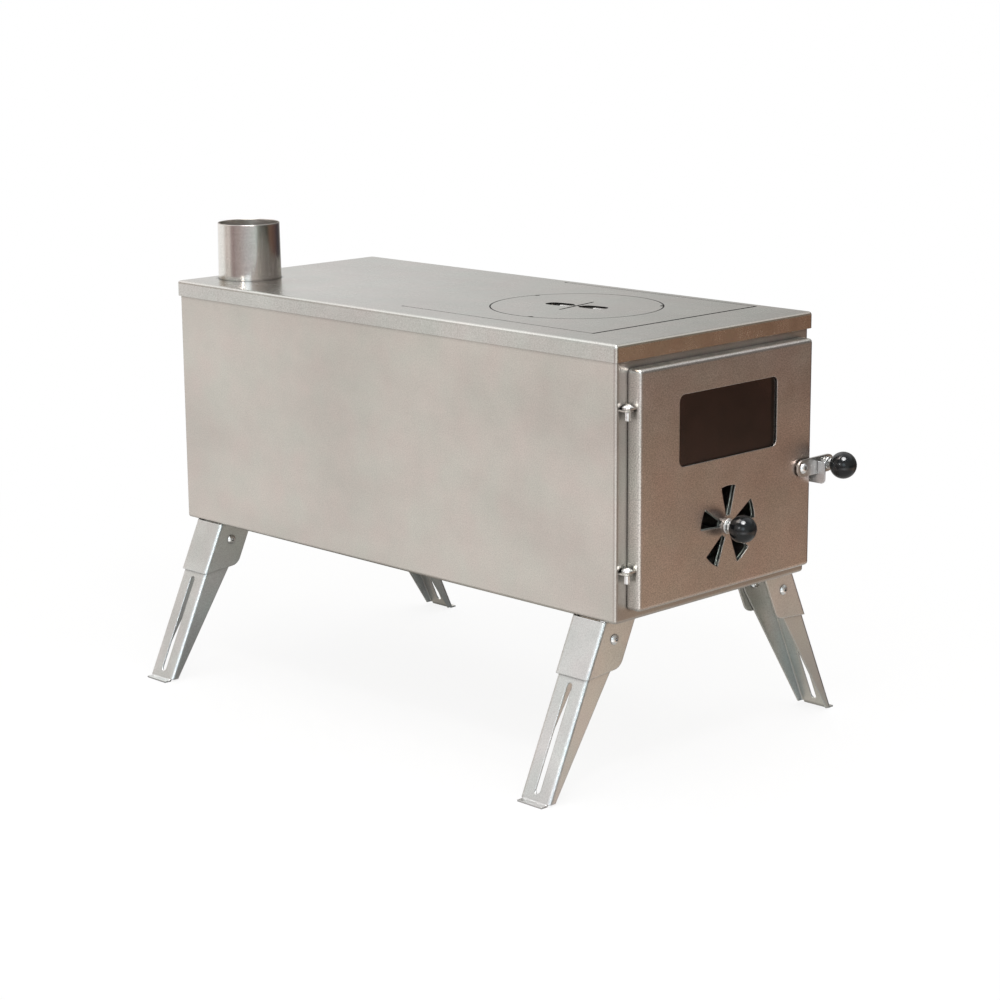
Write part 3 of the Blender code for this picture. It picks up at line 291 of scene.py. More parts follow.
class Finish:
    """A material being made, with short ways to add its nodes."""

    def __init__(self, name):
        self.material = bpy.data.materials.new(name)
        self.material.use_nodes = True
        self.tree = self.material.node_tree
        self.shader = self.tree.nodes["Principled BSDF"]
        self.place = self.add("ShaderNodeTexCoord").outputs["Object"]

    def add(self, kind, **values):
        return add_node(self.tree, kind, **values)

    def link(self, output, node, socket):
        self.tree.links.new(output, node.inputs[socket])

    def drive(self, socket, output):
        """Feed an input of the finish's shader from another node."""
        self.link(output, self.shader, socket)

    def set(self, **values):
        """Give inputs of the shader plain values, with _ for each space in a name."""
        for key, value in values.items():
            self.shader.inputs[key.replace("_", " ")].default_value = value

    def noise(self, scale, detail=3.0, stretch=None, turn=(0.0, 0.0, 0.0)):
        """Noise in features per metre, which may be turned and stretched along the axes."""
        texture = self.add("ShaderNodeTexNoise", Scale=scale, Detail=detail)
        if stretch is None:
            self.link(self.place, texture, "Vector")
            return texture.outputs["Fac"]
        mapping = self.add("ShaderNodeMapping", Rotation=turn, Scale=stretch)
        self.link(self.place, mapping, "Vector")
        self.link(mapping.outputs["Vector"], texture, "Vector")
        return texture.outputs["Fac"]

    def between(self, source, low, high, dark=0.3, light=0.7):
        """A number that goes from low to high as the source goes from dark to light."""
        node = self.add("ShaderNodeMapRange")
        self.link(source, node, "Value")
        for name, value in (("From Min", dark), ("From Max", light), ("To Min", low),
                            ("To Max", high)):
            node.inputs[name].default_value = value
        return node.outputs["Result"]

    def shade(self, colour, factor):
        """A colour multiplied by a number from another node."""
        node = self.add("ShaderNodeVectorMath", operation="SCALE")
        node.inputs[0].default_value = colour
        self.link(factor, node, "Scale")
        return node.outputs["Vector"]

    def product(self, first, second):
        """Two numbers from other nodes, multiplied."""
        return maths(self.tree, "MULTIPLY", first, second)

    def mixed(self, factor, colour, other):
        """The first colour where the factor is 0 and the other where it is 1."""
        return mixed_colours(self.tree, factor, colour, other)

    def painted_crevice_shade(self, reach, dark):
        """Painted shade: a number that falls towards dark where surfaces meet within a short reach.
        """
        node = self.add("ShaderNodeAmbientOcclusion", samples=6, Distance=reach)
        return self.between(node.outputs["AO"], dark, 1.0, dark=0.35, light=0.9)

    def normal_part(self, axis):
        """One part of the direction that a surface looks in."""
        return vector_part(self.tree, self.add("ShaderNodeTexCoord").outputs["Normal"], axis)

    def facing_front(self):
        """A number that is 1 on what looks towards -Y and 0 elsewhere."""
        return self.between(self.normal_part("Y"), 1.0, 0.0, dark=-0.95, light=-0.6)

    def level(self, low, high):
        """A number that rises from 0 to 1 between two heights."""
        height = vector_part(self.tree, self.place, "Z")
        return self.between(height, 0.0, 1.0, dark=low, light=high)

    def cut_walls(self, top):
        """A number that is 1 on the walls of cuts just under the top of a level sheet, where shade
        is painted.
        """
        steep = self.between(self.normal_part("Z"), 1.0, 0.0, dark=0.3, light=0.5)
        bottom = top - CUT_DEPTH
        return self.product(steep, self.level(bottom, bottom + CUT_BLUR))

    def round_line(self, centre, radius, half_width):
        """A number that is 1 along an upright circle's line and 0 elsewhere."""
        away = vector_maths(self.tree, "SUBTRACT", self.place, centre)
        flat = vector_maths(self.tree, "MULTIPLY", away, LEVEL_ONLY)
        reach = vector_maths(self.tree, "LENGTH", flat)
        return maths(self.tree, "COMPARE", reach, radius, half_width)

    def looking_at(self, axis):
        """A number above 0 on what faces an upright axis and below 0 on what faces away."""
        inward = vector_maths(self.tree, "SUBTRACT", axis, self.place)
        flat = vector_maths(self.tree, "MULTIPLY", inward, LEVEL_ONLY)
        normal = self.add("ShaderNodeTexCoord").outputs["Normal"]
        return vector_maths(self.tree, "DOT_PRODUCT", flat, normal)

    def rolling_hue(self, colour):
        """A colour that leans a little to rose and to green in patches, as rolled steel does."""
        lean = self.between(self.noise(HUE_SCALE, detail=2.0), -0.022, 0.022)
        scale = self.add("ShaderNodeCombineXYZ")
        for socket, share in (("X", 1.0), ("Y", -0.5), ("Z", -0.2)):
            self.link(maths(self.tree, "MULTIPLY_ADD", lean, share, 1.0), scale, socket)
        return vector_maths(self.tree, "MULTIPLY", colour, scale.outputs["Vector"])

    def relief(self, height, distance, edge_radius=0.0):
        """Bump from a height, over cut edges that are softened by a small radius."""
        bump = self.add("ShaderNodeBump", Strength=1.0, Distance=distance)
        self.link(height, bump, "Height")
        if edge_radius > 0:
            edge = self.add("ShaderNodeBevel", samples=4, Radius=edge_radius)
            self.link(edge.outputs["Normal"], bump, "Normal")
        self.drive("Normal", bump.outputs["Normal"])


def sheet_finish(name, colour, grain=(0, 1, 0), turn=(0.0, 0.0, 0.0), roughness=None,
                 darkest_crevice_shade=0.45, edge_radius=None, front_reflection_colour=None, front_top_reflection=None,
                 top_levels=(0.30, 0.39), tube_axis=None, cut_top=None, gap_shade_ring=None,
                 speckle=(0.90, 1.08)):
    """Rolled steel sheet: cloudy tone, fine rolling marks along one axis, soft cut edges, and
    painted shade where surfaces meet. A front colour, a painted reflection, tones what faces
    the door's side, and another painted reflection takes over above a level. A tube's inside,
    which looks at its axis, is duller than its outside. The walls of cuts through a level
    sheet get painted shade, and a ring of painted shade widens the dark gap round a loose plate."""
    sheet = settings("sheet")
    rough = sheet.roughness if roughness is None else roughness
    made = Finish(name)
    across = 1.0 / sheet.grain_width
    stretch = [across / MARK_STRETCH if along else across for along in grain]
    clouds = made.noise(CLOUD_SCALE, detail=4.0, stretch=(1.0, 0.5, 1.0), turn=turn)
    smudges = made.noise(SMUDGE_SCALE, detail=6.0)
    marks = made.noise(1.0, detail=2.0, stretch=stretch, turn=turn)
    deep = 1.0 - sheet.mottling
    tone = made.product(made.between(clouds, deep, 1.0 + sheet.mottling * 0.4),
                        made.between(smudges, 1.0 - sheet.mottling * 0.6, 1.0))
    tone = made.product(tone, made.between(marks, 0.985, 1.01))
    specks = made.noise(SPECKLE_SCALE, detail=1.0)
    tone = made.product(tone, made.between(specks, *speckle))
    # Painted shade where surfaces meet, down to the finish's darkest level
    tone = made.product(tone, made.painted_crevice_shade(0.004, darkest_crevice_shade))
    shaded = made.shade(colour, tone)
    # Painted reflection: faces that look towards -Y take the front colour
    if front_reflection_colour is not None:
        front = made.shade(front_reflection_colour, tone)
        # Painted reflection: another front colour takes over above a level
        if front_top_reflection is not None:
            front = made.mixed(made.level(*top_levels), front, made.shade(front_top_reflection, tone))
        shaded = made.mixed(made.facing_front(), shaded, front)
    shaded = made.rolling_hue(shaded)
    if cut_top is not None:
        # Painted shade on the walls of narrow cuts
        shaded = made.mixed(made.cut_walls(cut_top), shaded, PAINTED_CUT_AND_GAP_SHADE)
    if gap_shade_ring is not None:
        # A ring of painted shade that widens the dark gap round the loose plate
        shaded = made.mixed(made.round_line(*gap_shade_ring), shaded, PAINTED_CUT_AND_GAP_SHADE)
    made.drive("Base Color", shaded)
    satin = made.product(made.between(smudges, rough * 0.9, rough * 1.12),
                         made.between(marks, 0.93, 1.07))
    if tube_axis is not None:
        satin = made.product(satin, made.between(made.looking_at(tube_axis), 1.0, 2.1,
                                                 dark=-0.01, light=0.01))
    made.drive("Roughness", satin)
    made.set(Metallic=1.0)
    made.relief(marks, MARK_DEPTH, sheet.edge_radius if edge_radius is None else edge_radius)
    return made.material


def hotplate_finish(colour, top, ring):
    """The lid's sheet for its loose plate, with its lifting tongues under it painted near-white and
    dull as a painted highlight.
    """
    material = sheet_finish("hotplate_sheet", colour, roughness=LID_ROUGHNESS, darkest_crevice_shade=0.5,
                            edge_radius=LID_EDGE, cut_top=top, gap_shade_ring=ring)
    tree = material.node_tree
    shader = tree.nodes["Principled BSDF"]
    place = add_node(tree, "ShaderNodeTexCoord").outputs["Object"]
    # Below the plate's underside the lifting tongues are painted near-white and dull, a painted
    # highlight
    underside = top - PLATE_GAUGE
    above = eased(tree, vector_part(tree, place, "Z"), underside - PLATE_BLUR,
                  underside + PLATE_BLUR)
    base = shader.inputs["Base Color"]
    sheet_colour = base.links[0].from_socket
    tree.links.new(mixed_colours(tree, above, TONGUE_HIGHLIGHT_COLOUR, sheet_colour), base)
    tree.links.new(above, shader.inputs["Metallic"])
    return material


def hardware_finish(name="bright_screw_steel", dull=1.0, darkest_crevice_shade=0.1):
    """Bright turned steel for screws and nuts, or duller for washers, with painted shade in their
    sockets and where they meet other parts.
    """
    hardware = settings("hardware")
    made = Finish(name)
    wear = made.noise(420.0, detail=3.0)
    rough = hardware.roughness * dull
    # Painted shade in the socket and where the hardware meets other parts
    tone = made.product(made.between(wear, 0.93, 1.02), made.painted_crevice_shade(0.0016, darkest_crevice_shade))
    made.drive("Base Color", made.shade(hardware.colour, tone))
    made.drive("Roughness", made.between(wear, rough * 0.8, rough * 1.3))
    made.set(Metallic=1.0)
    return made.material


def phenolic_finish():
    """Black moulded plastic with faint flow marks."""
    knob = settings("knob")
    made = Finish("black_phenolic")
    flow = made.noise(160.0, detail=2.0)
    made.drive("Base Color", made.shade(knob.colour, made.between(flow, 0.9, 1.15)))
    made.drive("Roughness", made.between(flow, knob.roughness * 0.85, knob.roughness * 1.2))
    made.set(IOR=1.5, Specular_IOR_Level=0.42)
    made.relief(flow, 0.00001)
    return made.material


def glass_finish():
    """Smoked glass with uneven soot and a slight haze."""
    glass = settings("glass")
    made = Finish("smoked_glass")
    haze = made.noise(45.0, detail=3.0)
    soot = made.noise(13.0, detail=2.0)
    depth = made.product(made.between(haze, 0.94, 1.05), made.between(soot, 0.78, 1.3))
    made.drive("Base Color", made.shade(glass.tint, depth))
    made.drive("Roughness", made.between(haze, glass.roughness, glass.roughness * 2.5))
    made.set(IOR=1.5, Transmission_Weight=1.0)
    return made.material


def dress(node, finish):
    """Give a CAD node its finish."""
    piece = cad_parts[node]
    piece.data.materials.clear()
    piece.data.materials.append(finish)


def new_piece(name, work, finish, body, nodes):
    """Make an object of a bmesh that stands for CAD nodes and rides with their body."""
    bmesh.ops.recalc_face_normals(work, faces=work.faces)
    mesh = bpy.data.meshes.new(name)
    work.to_mesh(mesh)
    work.free()
    mesh.shade_smooth()
    mesh.set_sharp_from_angle(angle=SHARP_ANGLE)
    mesh.materials.append(finish)
    piece = bpy.data.objects.new(name, mesh)
    bpy.context.scene.collection.objects.link(piece)
    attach(piece, body)
    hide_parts(*nodes)


def corner_ring(work, place, segments, radius, level):
    """Corners round the local Z axis of a placing matrix. The radius and the level are
    numbers or functions of the angle, and a radius of 0 gives one corner."""
    ring = []
    for k in range(1 if radius == 0 else segments):
        angle = 2 * math.pi * k / segments
        reach = radius(angle) if callable(radius) else radius
        height = level(angle) if callable(level) else level
        point = Vector((reach * math.cos(angle), reach * math.sin(angle), height))
        ring.append(work.verts.new(place @ point))
    return ring


def lathe(work, profile, place, segments, closed=False):
    """Turn (radius, level) points about the local Z axis of a placing matrix."""
    rings = [corner_ring(work, place, segments, *point) for point in profile]
    bridge_rings(work, rings, segments, closed)


def bridge_rings(work, rings, segments, closed=False):
    """Fill the bands between rings of corners, where a ring may be a single corner."""
    pairs = list(zip(rings, rings[1:]))
    if closed:
        pairs.append((rings[-1], rings[0]))
    for first, second in pairs:
        for k in range(segments):
            following = (k + 1) % segments
            corners = [first[k % len(first)], first[following % len(first)],
                       second[following % len(second)], second[k % len(second)]]
            work.faces.new(list(dict.fromkeys(corners)))


def hexagon_side(flats):
    """A function that gives the distance from a hexagon's centre to its side, at an angle."""
    def reach(angle):
        return flats / 2 / math.cos((angle + math.pi / 6) % (math.pi / 3) - math.pi / 6)
    return reach


def along_axis(origin, direction):
    """A matrix that puts local +Z along a direction at a place."""
    turn = Vector(direction).to_track_quat("Z", "Y").to_matrix().to_4x4()
    return Matrix.Translation(origin) @ turn


def thread_profile(radius, start, end, pitch, depth):
    """Crests and roots of a thread from one level to another."""
    count = max(1, int((end - start) / pitch))
    points = []
    for k in range(count):
        points.append((radius, start + k * pitch))
        points.append((radius - depth, start + (k + 0.5) * pitch))
    points.append((radius - depth, end))
    return points


def dome_profile(radius, height, inner, steps):
    """A domed head from its rim to an inner radius."""
    bend = (radius ** 2 + height ** 2) / (2 * height)
    spread = math.asin(min(1.0, radius / bend))
    stop = math.asin(inner / bend)
    angles = [spread + (stop - spread) * k / steps for k in range(steps + 1)]
    return [(bend * math.sin(a), height - bend * (1 - math.cos(a))) for a in angles]


def socket_screw(work, place, head_radius, length):
    """A domed screw with a hexagon socket. Its head sits at the place and looks along +Z."""
    hardware = settings("hardware")
    tip = -length
    bevel = 0.0006
    thread_start = tip + 0.0008
    thread_end = -length * 0.45
    plain_start = -length * 0.4
    socket_rim = hardware.socket_flats * 0.72
    profile = [(0, tip), (SHANK_RADIUS - bevel, tip), (SHANK_RADIUS, tip + bevel)]
    profile += thread_profile(SHANK_RADIUS, thread_start, thread_end, hardware.thread_pitch,
                              hardware.thread_depth)
    profile += [(SHANK_RADIUS, plain_start), (SHANK_RADIUS, 0), (head_radius, 0)]
    profile += dome_profile(head_radius, HEAD_HEIGHT, socket_rim, 7)
    top = profile[-1][1]
    side = hexagon_side(hardware.socket_flats)
    profile += [(side, top), (side, top - hardware.socket_depth),
                (0, top - hardware.socket_depth * 1.15)]
    lathe(work, profile, place, hardware.segments)


def chamfered_nut(work, place, height):
    """A hexagon nut with both faces chamfered, between local Z 0 and its height."""
    side = hexagon_side(NUT_FLATS)
    face = NUT_FLATS * 0.48
    soft = 0.0003

    def low_edge(angle):
        """Where the lower chamfer meets the side."""
        return 0.0002 + (side(angle) - NUT_FLATS / 2) * math.tan(NUT_BEVEL)

    def high_edge(angle):
        return height - low_edge(angle)

    profile = [(face, 0), (side, low_edge), (side, high_edge), (face, height),
               (BORE_RADIUS + soft, height), (BORE_RADIUS, height - soft),
               (BORE_RADIUS, soft), (BORE_RADIUS + soft, 0)]
    lathe(work, profile, place, settings("hardware").segments, closed=True)


def plain_washer(work, place, outer, thickness):
    """A washer with rounded rims, between local Z 0 and its thickness."""
    inner = BORE_RADIUS
    soft = min(0.00025, thickness / 3)
    profile = [(outer - soft, 0), (outer, soft), (outer, thickness - soft),
               (outer - soft, thickness), (inner + soft, thickness), (inner, thickness - soft),
               (inner, soft), (inner + soft, 0)]
    lathe(work, profile, place, settings("hardware").segments, closed=True)


def node_span(node, axis):
    """Lowest and highest level of a CAD node along an axis, and the middle of its box."""
    low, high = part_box(node)
    return low[axis], high[axis], (low + high) / 2


def half_width(node):
    """Half of a CAD node's width from left to right."""
    low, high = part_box(node)
    return (high.x - low.x) / 2


class STOVE_OT_sheet(bpy.types.Operator):
    """Give the folded sheet pieces their steel finishes"""
    bl_idname = "stove.sheet"
    bl_label = "Folded Sheet"

    def execute(self, context):
        sheet = settings("sheet")
        # Each finish's darkest level sets how deep its painted shade between parts falls
        body = sheet_finish("firebox_sheet", sheet.body_colour, darkest_crevice_shade=0.3,
                            front_reflection_colour=sheet.post_reflection_colour)
        top, middle = node_span("hotplate", 2)[1:]
        ring = (middle, half_width("hotplate") + GAP_SHADE_OFFSET, GAP_SHADE_HALF_WIDTH)
        lid = sheet_finish("lid_sheet", sheet.lid_colour, roughness=LID_ROUGHNESS,
                           darkest_crevice_shade=0.04, edge_radius=LID_EDGE,
                           front_reflection_colour=sheet.skirt_reflection_colour, cut_top=top, gap_shade_ring=ring)
        plate = hotplate_finish(sheet.lid_colour, top, ring)
        door = sheet_finish("door_sheet", sheet.wall_colour, grain=(1, 0, 0),
                            front_reflection_colour=sheet.door_front_reflection_colour, front_top_reflection=sheet.door_top_reflection_colour,
                            speckle=(0.76, 1.22))
        bar = sheet_finish("bar_sheet", sheet.bar_colour, grain=(1, 0, 0), darkest_crevice_shade=0.9)
        hook = sheet_finish("hook_sheet", sheet.hook_colour, roughness=0.42, darkest_crevice_shade=0.8)
        disc = sheet_finish("air_disc_sheet", sheet.disc_colour, roughness=0.65)
        fire = sheet_finish("fire_side_sheet", sheet.fire_colour, roughness=0.55, darkest_crevice_shade=0.1)
        for node, finish in (("body_shell", body), ("rear_panel", body), ("top_cover", lid),
                             ("hotplate", plate), ("door_pan", door), ("glass_retainer", door),
                             ("latch_bar", bar), ("latch_catch", hook), ("damper_disc", disc),
                             ("fire_grate", fire), ("hotplate_ledge", fire)):
            dress(node, finish)
        return {"FINISHED"}


class STOVE_OT_legs(bpy.types.Operator):
    """Give the legs and their brackets a sheet finish whose marks run down each leg, with painted
    reflection on the front flanges and painted shade on the right legs
    """
    bl_idname = "stove.legs"
    bl_label = "Legs"

    def execute(self, context):
        sheet = settings("sheet")
        # Each side gets its own copy of the leg sheet: the right one in painted shade, the flanges
        # in painted reflection
        for side, way, colour, flange in (
                ("left", 1, sheet.leg_colour, sheet.flange_reflection_colour),
                ("right", -1, sheet.leg_right_shade_colour, sheet.flange_right_shade_colour)):
            lean = (0.0, way * math.radians(LEG_SPLAY), 0.0)
            finish = sheet_finish("leg_sheet_" + side, colour, grain=(0, 0, 1), turn=lean,
                                  edge_radius=0.0015, front_reflection_colour=flange,
                                  front_top_reflection=sheet.flange_top_reflection_colour, top_levels=(0.05, 0.12))
            for end in ("front", "rear"):
                dress(f"leg_{end}_{side}", finish)
                dress(f"leg_bracket_{end}_{side}", finish)
        return {"FINISHED"}


class STOVE_OT_flue(bpy.types.Operator):
    """Make the rolled flue collar with a softened rim"""
    bl_idname = "stove.flue"
    bl_label = "Flue Collar"

    def execute(self, context):
        bottom, top, middle = node_span("flue_collar", 2)
        finish = sheet_finish("flue_sheet", settings("sheet").flue_colour, grain=(1, 1, 0),
                              roughness=0.15, tube_axis=middle)
        wall = 0.001
        rim = 0.0003
        lip_width = 0.0014
        lip_height = 0.0015
        taper = 0.00065
        above_lid = 0.056
        lid_and_gap = 0.0023
        shoulder = half_width("flue_collar")
        foot = shoulder - lip_width
        mouth = foot - taper
        lid_top = top - above_lid
        seat = lid_top - lid_and_gap
        underside = seat - lip_height
        profile = [(foot, seat), (foot, lid_top), (mouth, top - rim), (mouth - rim, top),
                   (mouth - wall + rim, top), (mouth - wall, top - rim), (foot - wall, lid_top),
                   (foot - wall, bottom), (foot, bottom), (foot, underside),
                   (shoulder, underside), (shoulder, seat)]
        work = bmesh.new()
        lathe(work, profile, along_axis((middle.x, middle.y, 0), (0, 0, 1)), FLUE_STEPS,
              closed=True)
        new_piece("rolled_flue_collar", work, finish, "stove", ["flue_collar"])
        return {"FINISHED"}


def place_screw(node, way, head_radius, name, finish, body):
    """Stand a socket screw in for a CAD one whose head looks along -Y or +Y."""
    low, high, middle = node_span(node, 1)
    seat = low + HEAD_HEIGHT if way < 0 else high - HEAD_HEIGHT
    work = bmesh.new()
    socket_screw(work, along_axis((middle.x, seat, middle.z), (0, way, 0)), head_radius,
                 high - low - HEAD_HEIGHT)
    new_piece(name, work, finish, body, [node])


class STOVE_OT_screws(bpy.types.Operator):
    """Make the socket screws of the legs and the latch"""
    bl_idname = "stove.screws"
    bl_label = "Screws"

    def execute(self, context):
        finish = hardware_finish()
        for corner in CORNERS:
            for end, way in (("front", -1), ("rear", 1)):
                node = f"leg_screw_{corner}_{end}"
                place_screw(node, way, half_width(node), f"socket_screw_{corner}_{end}", finish,
                            "stove")
        place_screw("latch_pivot_screw", -1, HEAD_RADIUS, "latch_socket_screw", finish, "door")
        return {"FINISHED"}


class STOVE_OT_hinge_pins(bpy.types.Operator):
    """Make the two hinge pins with their domed heads and barrel nuts"""
    bl_idname = "stove.hinge_pins"
    bl_label = "Hinge Pins"

    def execute(self, context):
        finish = hardware_finish()
        for level in ("lower", "upper"):
            node = "hinge_pin_" + level
            low, high, middle = node_span(node, 2)
            seat = high - HEAD_HEIGHT
            tip = low - seat
            barrel = 0.0027
            bevel = 0.0005
            neck = 0.0024
            shoulder = -0.0038
            profile = [(0, tip), (barrel - bevel, tip), (barrel, tip + bevel),
                       (barrel, shoulder - 0.0003), (neck, shoulder), (neck, 0),
                       (HEAD_RADIUS, 0)]
            profile += dome_profile(HEAD_RADIUS, HEAD_HEIGHT, 0.0, 8)
            work = bmesh.new()
            place = along_axis((middle.x, middle.y, seat), (0, 0, 1))
            lathe(work, profile, place, settings("hardware").segments)
            new_piece("domed_hinge_pin_" + level, work, finish, "stove", [node])
        return {"FINISHED"}


class STOVE_OT_nuts(bpy.types.Operator):
    """Make the chamfered nuts and the washers"""
    bl_idname = "stove.nuts"
    bl_label = "Nuts and Washers"

    def execute(self, context):
        finish = hardware_finish()
        nuts = [(f"leg_nut_{corner}_{end}", "stove") for corner in CORNERS
                for end in ("front", "rear")]
        nuts += [("damper_nut", "damper"), ("latch_knob_nut", "latch_handle"),
                 ("latch_pivot_nut", "door")]
        for node, body in nuts:
            low, high, middle = node_span(node, 1)
            work = bmesh.new()
            chamfered_nut(work, along_axis((middle.x, low, middle.z), (0, 1, 0)), high - low)
            new_piece("chamfered_" + node, work, finish, body, [node])
        satin = hardware_finish("satin_washer_steel", 1.7, 0.8)
        washers = [("damper_washer", "damper"), ("latch_knob_washer", "latch_handle"),
                   ("damper_spacer", "damper"), ("latch_spacer", "door")]
        for node, body in washers:
            low, high, middle = node_span(node, 1)
            work = bmesh.new()
            plain_washer(work, along_axis((middle.x, low, middle.z), (0, 1, 0)),
                         half_width(node), high - low)
            new_piece("rounded_" + node, work, satin, body, [node])
        for node in ("damper_spindle", "latch_knob_stem"):
            dress(node, finish)
        return {"FINISHED"}


def ball_profile(length, steps):
    """A ball with a bored flat at height 0, which reaches down by its length."""
    flat = 0.006
    bevel = 0.0004
    bore_end = -0.008
    radius = (length ** 2 + flat ** 2) / (2 * length)
    start = math.asin(flat / radius)
    centre = -radius * math.cos(start)
    profile = [(0, bore_end), (BORE_RADIUS, bore_end), (BORE_RADIUS, -bevel),
               (BORE_RADIUS + bevel, 0), (flat - bevel, 0)]
    for k in range(steps):
        angle = start + (math.pi - start) * k / steps
        profile.append((radius * math.sin(angle), centre + radius * math.cos(angle)))
    return profile + [(0, centre - radius)]


class STOVE_OT_knobs(bpy.types.Operator):
    """Make the two glossy ball knobs"""
    bl_idname = "stove.knobs"
    bl_label = "Ball Knobs"

    def execute(self, context):
        segments = settings("knob").segments
        finish = phenolic_finish()
        for node, body in (("damper_knob", "damper"), ("latch_knob", "latch_handle")):
            low, high, middle = node_span(node, 1)
            work = bmesh.new()
            lathe(work, ball_profile(high - low, segments // 2),
                  along_axis((middle.x, high, middle.z), (0, 1, 0)), segments)
            new_piece("polished_" + node, work, finish, body, [node])
        return {"FINISHED"}


class STOVE_OT_glass(bpy.types.Operator):
    """Give the window its smoked glass"""
    bl_idname = "stove.glass"
    bl_label = "Window Glass"

    def execute(self, context):
        dress("window_glass", glass_finish())
        return {"FINISHED"}


def ray_switch(tree, *kinds):
    """A number that is 1 for rays of the named kinds and 0 for the rest."""
    path = add_node(tree, "ShaderNodeLightPath")
    level = path.outputs[kinds[0]]
    for kind in kinds[1:]:
        level = maths(tree, "MAXIMUM", level, path.outputs[kind])
    return level


def blend_shaders(tree, factor, first, second):
    """The first shader where the factor is 0 and the second where it is 1."""
    mix = add_node(tree, "ShaderNodeMixShader")
    tree.links.new(factor, mix.inputs["Fac"])
    tree.links.new(first, mix.inputs[1])
    tree.links.new(second, mix.inputs[2])
    return mix.outputs["Shader"]


def light_shader(tree, kind, colour, strength=1.0):
    """Light from a surface or the world, of a plain colour or of another node's output."""
    node = add_node(tree, kind, Strength=strength)
    feed_colour(tree, node.inputs["Color"], colour)
    return node.outputs[0]


def glowing(tree, colour, strength=1.0):
    """A surface that gives its own light."""
    return light_shader(tree, "ShaderNodeEmission", colour, strength)


def matt(tree, level):
    """A dull grey surface."""
    shade = add_node(tree, "ShaderNodeBsdfDiffuse", Color=(level, level, level, 1.0))
    return shade.outputs["BSDF"]


def fade_out(tree, reach, near, far):
    """A number that goes smoothly from 0 to 1 with the distance from the stove."""
    place = add_node(tree, "ShaderNodeTexCoord").outputs["Object"]
    away = vector_maths(tree, "DIVIDE", place, (*reach, 1.0))
    return eased(tree, vector_maths(tree, "LENGTH", away), near, far)


def ground_sheet(name, half_sizes, level):
    """A flat rectangle of floor with an empty node material."""
    x, y = half_sizes
    corners = ((-x, -y, level), (x, -y, level), (x, y, level), (-x, y, level))
    work = bmesh.new()
    work.faces.new([work.verts.new(corner) for corner in corners])
    mesh = bpy.data.meshes.new(name)
    work.to_mesh(mesh)
    work.free()
    material = bpy.data.materials.new(name)
    material.use_nodes = True
    material.node_tree.nodes.clear()
    mesh.materials.append(material)
    sheet = bpy.data.objects.new(name, mesh)
    bpy.context.scene.collection.objects.link(sheet)
    return sheet, material.node_tree


def show_surface(tree, shader):
    """Show a shader on the sheet that has the node tree."""
    output = add_node(tree, "ShaderNodeOutputMaterial")
    tree.links.new(shader, output.inputs["Surface"])


def pale_floor(stage):
    """A floor that reads white, with a soft shadow where the stove stands."""
    half = stage.floor_size / 2
    floor, tree = ground_sheet("pale_floor", (half, half), FLOOR_LEVEL)
    takes_shadow = matt(tree, 0.17)
    own_light = glowing(tree, WHITE, 0.85)
    near_floor = add_node(tree, "ShaderNodeAddShader")
    tree.links.new(takes_shadow, near_floor.inputs[0])
    tree.links.new(own_light, near_floor.inputs[1])
    away = fade_out(tree, reach=(0.6, 0.75), near=0.7, far=1.6)
    seen_floor = blend_shaders(tree, away, near_floor.outputs["Shader"], glowing(tree, WHITE))
    bouncing_floor = matt(tree, 0.8)
    seen = ray_switch(tree, "Is Camera Ray", "Is Transmission Ray")
    show_surface(tree, blend_shaders(tree, seen, bouncing_floor, seen_floor))
    floor.visible_glossy = False


def shaded_floor(stage):
    """A painted shadow under the stove: a glowing sheet that only reflections see, dim where the
    legs and the underside mirror the floor.
    """
    pad, tree = ground_sheet("shaded_floor", (0.42, 0.60), PAD_LEVEL)
    pad.location.y = 0.06
    place = add_node(tree, "ShaderNodeTexCoord").outputs["Object"]
    tone = blend_colours(tree, vector_part(tree, place, "Y"), -0.06, 0.12,
                         tuple(stage.shade_colour), tuple(stage.deep_shade_colour))
    away = fade_out(tree, reach=(0.30, 0.40), near=0.7, far=1.15)
    clear = add_node(tree, "ShaderNodeBsdfTransparent").outputs["BSDF"]
    show_surface(tree, blend_shaders(tree, away, glowing(tree, tone), clear))
    pad.visible_camera = False
    pad.visible_diffuse = False
    pad.visible_transmission = False
    pad.visible_shadow = False


def compass_ramp(tree, azimuth, stops):
    """Colours round the studio: each stop is an angle from +X and a colour."""
    ramp = add_node(tree, "ShaderNodeValToRGB")
    tree.links.new(azimuth, ramp.inputs["Fac"])
    elements = ramp.color_ramp.elements
    elements[0].position = 0.0
    elements[1].position = 1.0
    elements[0].color = (*stops[0][1], 1.0)
    elements[1].color = (*stops[-1][1], 1.0)
    for angle, colour in stops[1:-1]:
        elements.new((angle + 180) / 360).color = (*colour, 1.0)
    return ramp.outputs["Color"]


